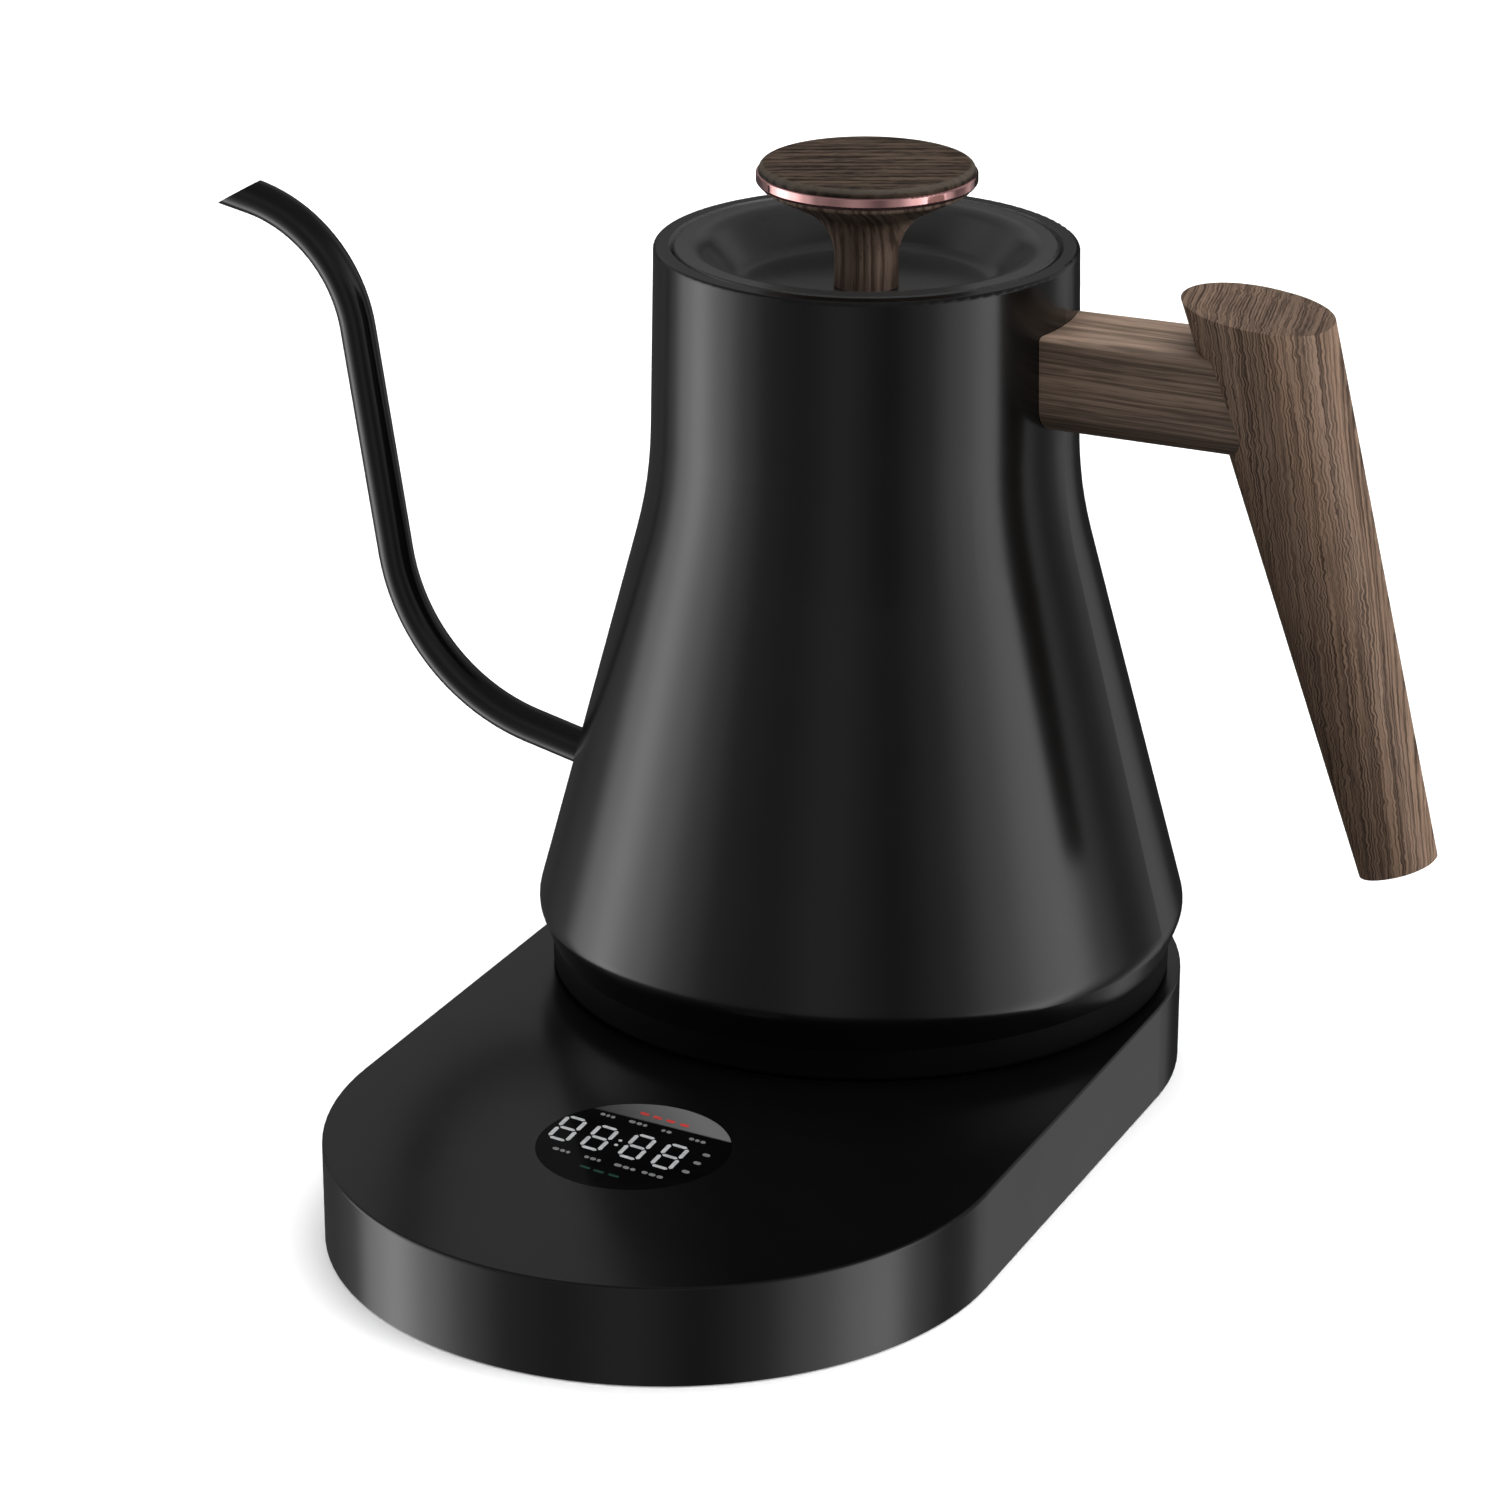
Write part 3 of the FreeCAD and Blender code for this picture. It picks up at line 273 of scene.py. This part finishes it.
def layer_depth(tree, place, curl):
    """How deep a point lies across the layers, which sway and, by curl, ripple at the sides."""
    sway = noise(tree, stretched(tree, place, SWAY_SCALE), 1.0, 1.0)
    ripple = noise(tree, stretched(tree, place, RIPPLE_SCALE), 1.0, 1.0)
    shift = maths(tree, "MULTIPLY", maths(tree, "SUBTRACT", sway, 0.5), SWAY_DEPTH)
    side = maths(tree, "ABSOLUTE", separate(tree, object_place(tree))[1])
    reach = map_range(tree, side, RIPPLE_SIDES, (0.2 * curl, curl))
    wave = maths(tree, "MULTIPLY", maths(tree, "SUBTRACT", ripple, 0.5), reach)
    depth = separate(tree, place)[0]
    return maths(tree, "ADD", maths(tree, "ADD", depth, shift), wave)


def wood_pattern(tree, place, depth, layer, streak):
    """The thin layers, and the broad bands of tone, each as one value."""
    split = separate(tree, place)
    layered = add(tree, "ShaderNodeCombineXYZ")
    for socket, value in zip(layered.inputs, (depth, split[1], split[2])):
        feed(tree, socket, value)
    sheets = layered.outputs[0]
    layers = noise(tree, stretched(tree, sheets, (layer, streak, 30.0)), 1.0, 1.0, 0.45)
    fine = noise(tree, stretched(tree, sheets, (layer * 2.3, streak * 9, 250.0)), 1.0, 2.0)
    bands = noise(tree, stretched(tree, sheets, BAND_SCALE), 1.0, 2.0)
    stripes = maths(tree, "SINE", maths(tree, "MULTIPLY", depth, layer * 3.6))
    coarse = maths(tree, "MULTIPLY", layers, 0.55)
    mixed = maths(tree, "ADD", coarse, maths(tree, "MULTIPLY", fine, 0.45))
    return maths(tree, "MULTIPLY_ADD", stripes, 0.05, mixed), bands


def wood(name, along, across, dark, light, layer=1400.0, curl=0.0, gloss=0.3,
         streak=9.0, painted_shade_span=None, painted_highlight_tone=None):
    """Wenge-like wood: thin layers along the grain, darker end grain, broad tone and open pores.

    curl makes the layers ripple towards the part's front and back. The lower-edge span gives
    where, across the layers, a painted shade along the lower edge begins and ends. The edge tone
    is the plain colour of a painted highlight along a rounded upper edge.
    """
    material, tree, shader = new_material(name)
    place = grain_frame(tree, along, across)
    depth = layer_depth(tree, place, curl)
    pattern, bands = wood_pattern(tree, place, depth, layer, streak)

    middle = tuple((one + two) / 2 for one, two in zip(dark, light))
    grain = ramp(tree, pattern, ((0.39, dark), (0.49, middle), (0.6, light)))
    colour = multiplied(tree, grain, ramp(tree, bands, ((0.32, 0.82), (0.68, 1.12))))
    normal = add(tree, "ShaderNodeTexCoord").outputs["Normal"]
    facing = add(tree, "ShaderNodeVectorMath", operation="DOT_PRODUCT")
    feed(tree, facing.inputs[0], normal)
    facing.inputs[1].default_value = Vector(along).normalized()
    end_grain = maths(tree, "ABSOLUTE", facing.outputs["Value"])
    colour = multiplied(tree, colour, ramp(tree, end_grain, ((0.7, 1.0), (0.93, 0.56))))
    # Painted shade: darker towards the lower edge, across the layers.
    if painted_shade_span:
        edge = map_range(tree, separate(tree, place)[0], painted_shade_span, (1.0, 0.5))
        colour = multiplied(tree, colour, edge)
    # Painted highlight: where the rounded upper edge faces partly upwards, the colour is blended
    # towards a lighter plain tone.
    if painted_highlight_tone:
        rounded = ((0.15, 0.0), (0.4, 1.0), (0.85, 1.0), (0.97, 0.0))
        painted_highlight = ramp(tree, separate(tree, normal)[2], rounded)
        colour = blend_colours(tree, maths(tree, "MULTIPLY", painted_highlight, 0.8), colour, painted_highlight_tone)
    pores = noise(tree, stretched(tree, place, PORE_SCALE), 1.0, 1.0)
    open_pores = ramp(tree, pores, ((0.62, 0.0), (0.72, 1.0)))
    hollow = maths(tree, "MULTIPLY", open_pores, 0.5)
    colour = blend_colours(tree, hollow, colour, toned(dark, 0.5))

    feed(tree, shader.inputs["Base Color"], colour)
    feed(tree, shader.inputs["Roughness"], ramp(tree, pattern, ((0.35, 0.63), (0.65, 0.49))))
    relief = maths(tree, "SUBTRACT", pattern, hollow)
    feed(tree, shader.inputs["Normal"], bump(tree, relief, WOOD_RELIEF, 0.3))
    shader.inputs["Specular IOR Level"].default_value = gloss
    return material


def polished_metal(name, colour, rough):
    """Plated metal with faint polishing marks round its axis."""
    material, tree, shader = new_material(name)
    place = object_place(tree)
    marks = noise(tree, stretched(tree, place, (90.0, 90.0, 6000.0)), 1.0, 2.0)
    tone = ramp(tree, marks, ((0.35, toned(colour, 0.93)), (0.65, colour)))
    feed(tree, shader.inputs["Base Color"], tone)
    spread = ramp(tree, marks, ((0.3, rough * 0.8), (0.7, rough * 1.25)))
    feed(tree, shader.inputs["Roughness"], spread)
    shader.inputs["Metallic"].default_value = 1.0
    return material


def brushed_metal(name, colour, rough):
    """Bare metal with fine turning or brushing lines."""
    material, tree, shader = new_material(name)
    place = object_place(tree)
    lines = noise(tree, stretched(tree, place, (700.0, 700.0, 5000.0)), 1.0, 3.0)
    tone = ramp(tree, lines, ((0.3, toned(colour, 0.82)), (0.7, colour)))
    feed(tree, shader.inputs["Base Color"], tone)
    feed(tree, shader.inputs["Roughness"], ramp(tree, lines, ((0.3, rough), (0.7, rough + 0.14))))
    feed(tree, shader.inputs["Normal"], bump(tree, lines, 0.01 * MM, 0.4))
    shader.inputs["Metallic"].default_value = 1.0
    return material


def moulded(name, colour, rough, scale=2200.0, depth=0.03 * MM, gloss=0.5):
    """Moulded plastic or rubber with a fine spark-eroded texture."""
    material, tree, shader = new_material(name)
    place = object_place(tree)
    grains = noise(tree, place, scale, 3.0, 0.6)
    patches = noise(tree, place, 80.0, 3.0)
    tone = ramp(tree, patches, ((0.3, toned(colour, 0.8)), (0.7, toned(colour, 1.2))))
    feed(tree, shader.inputs["Base Color"], tone)
    spread = ramp(tree, grains, ((0.3, rough - 0.06), (0.7, rough + 0.06)))
    feed(tree, shader.inputs["Roughness"], spread)
    feed(tree, shader.inputs["Normal"], bump(tree, grains, depth, 0.5))
    shader.inputs["Specular IOR Level"].default_value = gloss
    return material


def vessel_steel():
    """The vessel: satin black outside, bare brushed steel where the surface faces the axis."""
    material, tree, shader = new_material("vessel_steel")
    coords = add(tree, "ShaderNodeTexCoord")
    place = coords.outputs["Object"]
    at = separate(tree, place)
    facing = separate(tree, coords.outputs["Normal"])
    outward = maths(
        tree, "ADD",
        maths(tree, "MULTIPLY", at[0], facing[0]),
        maths(tree, "MULTIPLY", at[1], facing[1]),
    )
    bare = maths(tree, "LESS_THAN", outward, INWARD)
    paint, gloss, normal = satin(tree, place, BLACK, GLOSS)
    brushing = noise(tree, stretched(tree, place, (60.0, 60.0, 5000.0)), 1.0, 3.0)
    steel = ramp(tree, brushing, ((0.3, 0.42), (0.7, 0.56)))
    feed(tree, shader.inputs["Base Color"], blend_colours(tree, bare, paint, steel))
    feed(tree, shader.inputs["Metallic"], maths(tree, "MULTIPLY", bare, BARE_METALLIC))
    dull = ramp(tree, brushing, ((0.3, 0.26), (0.7, 0.4)))
    feed(tree, shader.inputs["Roughness"], blend_colours(tree, bare, gloss, dull))
    feed(tree, shader.inputs["Normal"], normal)
    return material


# Where the painted grey reflection on the display glass begins, from the display's centre, how
# its line slopes and how softly it starts.
REFLECTION_LINE = 11.2 * MM
REFLECTION_LINE_SLOPE = 0.089
REFLECTION_LINE_SOFT = 0.5 * MM


def glass_black():
    """Black display glass with a painted grey reflection beyond a line near its back edge,
    faintly uneven.
    """
    material, tree, shader = new_material("display_glass")
    low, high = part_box("display_glass")
    place = object_place(tree)
    smears = noise(tree, place, 90.0, 3.0)
    black = ramp(tree, smears, ((0.3, 0.001), (0.7, 0.002)))
    # Painted reflection: grey beyond the sloped line, lighter towards one side, over the black
    # glass.
    split = separate(tree, place)
    across = maths(tree, "SUBTRACT", split[0], (low.x + high.x) / 2)
    up = maths(tree, "SUBTRACT", split[1], (low.y + high.y) / 2)
    sloped = maths(tree, "MULTIPLY_ADD", across, REFLECTION_LINE_SLOPE, up)
    beyond = maths(tree, "SUBTRACT", sloped, REFLECTION_LINE)
    painted_reflection_mask = maths(tree, "MULTIPLY", beyond, 1 / REFLECTION_LINE_SOFT, clamp=True)
    slant = maths(tree, "MULTIPLY_ADD", beyond, 1.2, across)
    grey = map_range(tree, slant, (-16 * MM, 14 * MM), (0.02, 0.11))
    colour = blend_colours(tree, painted_reflection_mask, black, grey)
    feed(tree, shader.inputs["Base Color"], colour)
    feed(tree, shader.inputs["Roughness"], ramp(tree, smears, ((0.35, 0.05), (0.7, 0.1))))
    shader.inputs["Specular IOR Level"].default_value = 0.03
    return material


def lit(name, colour, strength):
    """A lit mark, a little uneven as backlight is."""
    material, tree, shader = new_material(name)
    place = object_place(tree)
    glow = noise(tree, place, 900.0, 1.0)
    shine = ramp(tree, glow, ((0.3, toned(colour, 0.7)), (0.7, colour)))
    dark = ramp(tree, glow, ((0.3, 0.003), (0.7, 0.005)))
    feed(tree, shader.inputs["Base Color"], dark)
    feed(tree, shader.inputs["Emission Color"], shine)
    shader.inputs["Emission Strength"].default_value = strength
    shader.inputs["Roughness"].default_value = 0.4
    return material


def make_materials():
    """One material for each finish, given to the CAD nodes that have it."""
    paint = painted("black_paint", BLACK, GLOSS)
    assign(vessel_steel(), "kettle_body")
    assign(paint, "spout_tube", "base_housing", "handle_bracket")
    assign(painted("lid_paint", LID_BLACK, GLOSS), "lid_cover")
    assign(brushed_metal("bare_steel", (0.56, 0.56, 0.57), 0.24),
           "vessel_floor", "lid_cup", "knob_washer", "display_holder")
    assign(brushed_metal("screw_steel", (0.5, 0.51, 0.53), 0.3),
           "cover_screws", "handle_screw", "knob_screw", "base_screws", "weld_studs",
           "shutter_spring")
    assign(brushed_metal("diffuser_aluminium", (0.6, 0.61, 0.62), 0.35),
           "heat_diffuser", "heating_element", "filter_capacitor")
    assign(brushed_metal("contact_copper", (0.72, 0.46, 0.3), 0.25),
           "kettle_contacts", "base_contacts")
    assign(polished_metal("ring_rose_gold", (0.8, 0.44, 0.43), 0.07), "knob_ring")
    assign(wood("arm_wood", ARM_GRAIN, ARM_ACROSS, ARM_DARK, ARM_LIGHT, painted_shade_span=ARM_PAINTED_SHADE),
           "handle_arm", "handle_dowels")
    assign(wood("grip_wood", GRIP_GRAIN, GRIP_ACROSS, HANDLE_DARK, HANDLE_LIGHT,
                layer=2800.0, curl=0.0014), "handle_grip")
    assign(wood("knob_top_wood", KNOB_GRAIN, KNOB_ACROSS, KNOB_DARK, KNOB_LIGHT,
                layer=650.0, gloss=0.15, streak=40.0, painted_highlight_tone=KNOB_EDGE_HIGHLIGHT), "knob_top")
    assign(wood("knob_stem_wood", STEM_GRAIN, STEM_ACROSS, STEM_DARK, STEM_LIGHT,
                layer=1000.0, gloss=0.2), "knob_stem")
    assign(moulded("black_plastic", (0.012, 0.012, 0.013), 0.42),
           "kettle_connector", "base_plate", "base_socket",
           "connector_shutter", "cord_inlet", "heater_relay", "temperature_sensor",
           "thermal_cutouts", "board_posts", "power_transformer", "buzzer")
    assign(moulded("cover_plastic", (0.002, 0.002, 0.002), 0.6, gloss=0.06), "bottom_cover")
    assign(moulded("grey_rubber", (0.03, 0.03, 0.032), 0.75, 3000.0, 0.05 * MM),
           "rubber_feet")
    assign(moulded("clear_silicone", (0.45, 0.45, 0.44), 0.5), "lid_seal")
    assign(moulded("green_board", (0.01, 0.075, 0.03), 0.4), "control_board", "display_module")
    assign(moulded("terminal_blue", (0.02, 0.08, 0.3), 0.45), "terminal_block")
    assign(glass_black(), "display_glass")


# ---- display marks --------------------------------------------------------------------

# The layout is in millimetres from the display's centre. It leans and slopes a little.
LAYOUT_LEAN = 0.036
LAYOUT_SLOPE = 0.156
MARK_LIFT = 0.01
MARK_THICK = 0.04
DIGIT_WIDE = 5.3
DIGIT_HIGH = 11.2
SEGMENT = 0.95
STROKE_REACH = 0.86
CAPTION_HIGH = 1.1
CAPTION_GAP = 0.3

DIGIT_CORNERS = ((-18.6, -6.4), (-10.7, -6.4), (-1.8, -5.6), (6.2, -5.6))
COLON_SIDES = (-4.0, -3.1)
COLON_DOTS = (-1.6, 0.6)
CAPTIONS = (
    (-10.8, 9.0, (1.2, 0.8, 1.0)), (-3.5, 9.4, (1.6, 1.3, 0.9)),
    (3.5, 9.5, (0.9, 1.2)), (11.1, 9.4, (1.2, 1.0, 1.2)),
    (-12.9, -9.9, (1.5, 1.2, 0.9)), (-5.4, -9.6, (1.1, 1.4, 0.8)),
    (2.3, -9.2, (1.8, 1.5, 1.2)), (8.9, -9.0, (1.4, 1.6, 1.5)),
)
SIDE_MARKS = ((15.5, 4.7), (15.2, 0.6), (14.6, -4.0))
RED_ROW = ((-4.0, 14.0), (-0.8, 13.9), (2.4, 14.0), (5.8, 14.0))
GREEN_ROW = ((-5.2, -13.7), (-1.8, -13.8), (1.8, -13.7))


def mark_place(across, up):
    """The place on the glass, in metres, of a point of the layout."""
    low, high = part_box("display_glass")
    x = (low.x + high.x) / 2 + (across - LAYOUT_LEAN * up) * MM
    y = (low.y + high.y) / 2 + (up - LAYOUT_SLOPE * across) * MM
    return Vector((x, y, high.z + MARK_LIFT * MM))


def add_outline(mesh, outline):
    """A thin raised polygon from layout points."""
    bottom = [mesh.verts.new(mark_place(*point)) for point in outline]
    top = [mesh.verts.new(vert.co + Vector((0, 0, MARK_THICK * MM))) for vert in bottom]
    mesh.faces.new(top)
    mesh.faces.new(reversed(bottom))
    for index in range(len(outline)):
        follow = (index + 1) % len(outline)
        mesh.faces.new((bottom[index], bottom[follow], top[follow], top[index]))


def bar(x_low, x_high, y_low, y_high, steps=5):
    """A bar with round ends, as layout points."""
    radius = min(x_high - x_low, y_high - y_low) / 2
    points = []
    if x_high - x_low > y_high - y_low:
        middle = (y_low + y_high) / 2
        ends = ((x_high - radius, middle, -90.0), (x_low + radius, middle, 90.0))
    else:
        middle = (x_low + x_high) / 2
        ends = ((middle, y_high - radius, 0.0), (middle, y_low + radius, 180.0))
    for x, y, start in ends:
        for step in range(steps + 1):
            angle = math.radians(start + 180.0 * step / steps)
            points.append((x + radius * math.cos(angle), y + radius * math.sin(angle)))
    return points


def segment(x, y, length, upright):
    """One six-sided stroke of a digit, centred at x, y."""
    half = length / 2
    thin = SEGMENT / 2
    outline = [
        (-half, 0.0), (-half + thin, -thin), (half - thin, -thin),
        (half, 0.0), (half - thin, thin), (-half + thin, thin),
    ]
    if upright:
        outline = [(-b, a) for a, b in outline]
    return [(x + a, y + b) for a, b in outline]


def digit(left, base):
    """All seven strokes of a digit whose lower left corner is given."""
    width = DIGIT_WIDE - SEGMENT
    height = DIGIT_HIGH - SEGMENT
    x_low = left + SEGMENT / 2
    y_low = base + SEGMENT / 2
    strokes = []
    for level in (0.0, 0.5, 1.0):
        y = y_low + height * level
        strokes.append(segment(x_low + width / 2, y, width * STROKE_REACH, False))
    for side in (0.0, 1.0):
        for level in (0.25, 0.75):
            x = x_low + width * side
            y = y_low + height * level
            strokes.append(segment(x, y, height / 2 * STROKE_REACH, True))
    return strokes


def make_marks(name, material, outlines):
    """One piece of lit marks on the glass, riding with the base."""
    mesh = bmesh.new()
    for outline in outlines:
        add_outline(mesh, outline)
    bmesh.ops.recalc_face_normals(mesh, faces=mesh.faces)
    data = bpy.data.meshes.new(name)
    mesh.to_mesh(data)
    mesh.free()
    data.materials.append(material)
    piece = bpy.data.objects.new(name, data)
    scene.collection.objects.link(piece)
    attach(piece, "base")


def small_caption(x, y, widths):
    """A row of small blocks in place of a word, centred at x, y."""
    total = sum(widths) + CAPTION_GAP * (len(widths) - 1)
    left = x - total / 2
    blocks = []
    for width in widths:
        blocks.append(bar(left, left + width, y - CAPTION_HIGH / 2, y + CAPTION_HIGH / 2))
        left += width + CAPTION_GAP
    return blocks


def bars(places, half_wide, half_high):
    """Equal bars, centred at the places."""
    return [
        bar(x - half_wide, x + half_wide, y - half_high, y + half_high) for x, y in places
    ]


def make_display():
    """Clock digits, blank captions above and below, side marks, red and green rows."""
    digits = []
    for left, base in DIGIT_CORNERS:
        digits += digit(left, base)
    for y in COLON_DOTS:
        digits.append(bar(*COLON_SIDES, y - 0.45, y + 0.45))
    make_marks("display_digits", lit("lit_white", (0.86, 0.88, 0.9), 0.55), digits)

    captions = []
    for x, y, widths in CAPTIONS:
        captions += small_caption(x, y, widths)
    captions += bars(SIDE_MARKS, 0.9, 0.6)
    make_marks("display_captions", lit("lit_grey", (0.6, 0.61, 0.63), 0.3), captions)

    red = bars(RED_ROW, 1.1, 0.5)
    make_marks("display_red_row", lit("lit_red", (0.85, 0.06, 0.05), 0.6), red)
    green = bars(GREEN_ROW, 1.3, 0.4)
    make_marks("display_green_row", lit("lit_green", (0.0, 0.3, 0.18), 0.1), green)


# ---- studio ---------------------------------------------------------------------------

# Brightness of the studio's walls by the angle from the camera's side, positive to the camera's
# right: a dim room with a broad upright softbox on each side.
WALLS = (
    (-180.0, 0.04), (-150.0, 0.08), (-127.0, 0.22), (-113.0, 1.6), (-101.0, 2.9),
    (-84.0, 1.75), (-68.0, 0.74), (-54.0, 0.28), (-35.0, 0.2), (-14.0, 0.35),
    (12.0, 0.13), (30.0, 0.34), (50.0, 1.1), (66.0, 2.0), (77.0, 2.3),
    (92.0, 0.58), (106.0, 0.14), (116.0, 0.18), (131.0, 0.5), (141.0, 0.26),
    (149.0, 0.03), (180.0, 0.02),
)
WALL_PEAK = 5.0

# The walls' share and the ceiling's own brightness by height: 0 is straight down, 0.5 is level
# and 1 is straight up.
WALL_SHARE = ((0.0, 0.1), (0.12, 1.0), (0.58, 1.0), (0.7, 0.3), (0.9, 0.0))
CEILING = ((0.58, 0.0), (0.68, 0.055), (0.9, 0.03))


def make_world():
    """Soft studio walls that the gloss reflects, fading upwards to a dim ceiling light."""
    world = bpy.data.worlds.new("studio")
    world.use_nodes = True
    scene.world = world
    tree = world.node_tree
    background = tree.nodes["Background"]
    split = separate(tree, add(tree, "ShaderNodeTexCoord").outputs["Generated"])
    angle = maths(tree, "ARCTAN2", split[1], split[0])
    turned = maths(tree, "ADD", angle, math.pi / 2 - CAMERA_AZIMUTH)
    wrapped = maths(tree, "WRAP", turned, math.pi, -math.pi)
    share = maths(tree, "MULTIPLY_ADD", wrapped, 1 / (2 * math.pi), 0.5)
    stops = [((place + 180.0) / 360.0, level / WALL_PEAK) for place, level in WALLS]
    walls = ramp(tree, share, stops, "EASE")
    height = maths(tree, "MULTIPLY_ADD", split[2], 0.5, 0.5)
    colour = multiplied(tree, walls, ramp(tree, height, WALL_SHARE))
    colour = blend_colours(tree, 1.0, colour, ramp(tree, height, CEILING), "ADD")
    feed(tree, background.inputs["Color"], colour)
    background.inputs["Strength"].default_value = WALL_PEAK


def area_light(name, place, target, size, power):
    """A square softbox aimed at a point; it only lights, and isn't mirrored."""
    data = bpy.data.lights.new(name, "AREA")
    data.shape = "SQUARE"
    data.size = size
    data.energy = power
    light = bpy.data.objects.new(name, data)
    light.location = place
    light.rotation_mode = "QUATERNION"
    aim = Vector(target) - Vector(place)
    light.rotation_quaternion = aim.to_track_quat("-Z", "Y")
    light.visible_glossy = False
    scene.collection.objects.link(light)


# Name, place, the point it is aimed at, size in metres and power in watts.
LAMPS = (
    ("top_light", (0.25, 0.1, 1.7), (0.0, -0.05, 0.0), 1.8, 40.0),
    ("right_light", (1.5, -0.1, 0.7), (0.0, 0.0, 0.1), 0.8, 9.0),
    ("back_light", (-0.9, 1.5, 0.7), (0.0, 0.0, 0.1), 1.0, 9.0),
)
FLOOR_RADIUS = 12.0
FLOOR_SIDES = 96
BACKDROP_HEIGHT = 14.0
GLOW_REACH = 3.0


def pale(name, near, far):
    """Matt white, self-lit more and more away from the object, where the lamps don't reach."""
    material, tree, shader = new_material(name)
    clouds = noise(tree, object_place(tree), 3.0, 2.0)
    feed(tree, shader.inputs["Base Color"], ramp(tree, clouds, ((0.3, 0.86), (0.7, 0.88))))
    shader.inputs["Roughness"].default_value = 0.9
    shader.inputs["Specular IOR Level"].default_value = 0.0
    distance = add(tree, "ShaderNodeVectorMath", operation="LENGTH")
    feed(tree, distance.inputs[0], object_place(tree))
    share = maths(tree, "DIVIDE", distance.outputs["Value"], GLOW_REACH, clamp=True)
    feed(tree, shader.inputs["Emission Color"], ramp(tree, share, ((0.1, near), (1.0, far))))
    shader.inputs["Emission Strength"].default_value = 1.0
    return material


def stage_piece(name, mesh, material):
    """A piece of the set that only the camera sees, so that it adds no light of its own."""
    data = bpy.data.meshes.new(name)
    mesh.to_mesh(data)
    mesh.free()
    data.materials.append(material)
    piece = bpy.data.objects.new(name, data)
    piece.visible_glossy = False
    piece.visible_diffuse = False
    piece.visible_shadow = False
    scene.collection.objects.link(piece)


def make_floor():
    """A large pale floor and, round its edge, a pale wall for low views."""
    floor = bmesh.new()
    bmesh.ops.create_circle(floor, cap_ends=True, radius=FLOOR_RADIUS, segments=FLOOR_SIDES)
    stage_piece("floor", floor, pale("floor_white", 0.2, 1.0))
    wall = bmesh.new()
    rim = bmesh.ops.create_circle(wall, radius=FLOOR_RADIUS, segments=FLOOR_SIDES)["verts"]
    edges = list({edge for vert in rim for edge in vert.link_edges})
    raised = bmesh.ops.extrude_edge_only(wall, edges=edges)["geom"]
    for vert in raised:
        if isinstance(vert, bmesh.types.BMVert):
            vert.co.z += BACKDROP_HEIGHT
    stage_piece("backdrop", wall, pale("backdrop_white", 1.0, 1.0))


def make_studio():
    """World, floor and lamps."""
    scene.view_settings.view_transform = "Standard"
    scene.view_settings.look = "None"
    make_world()
    make_floor()
    for lamp in LAMPS:
        area_light(*lamp)


make_camera()
make_materials()
make_display()
make_studio()
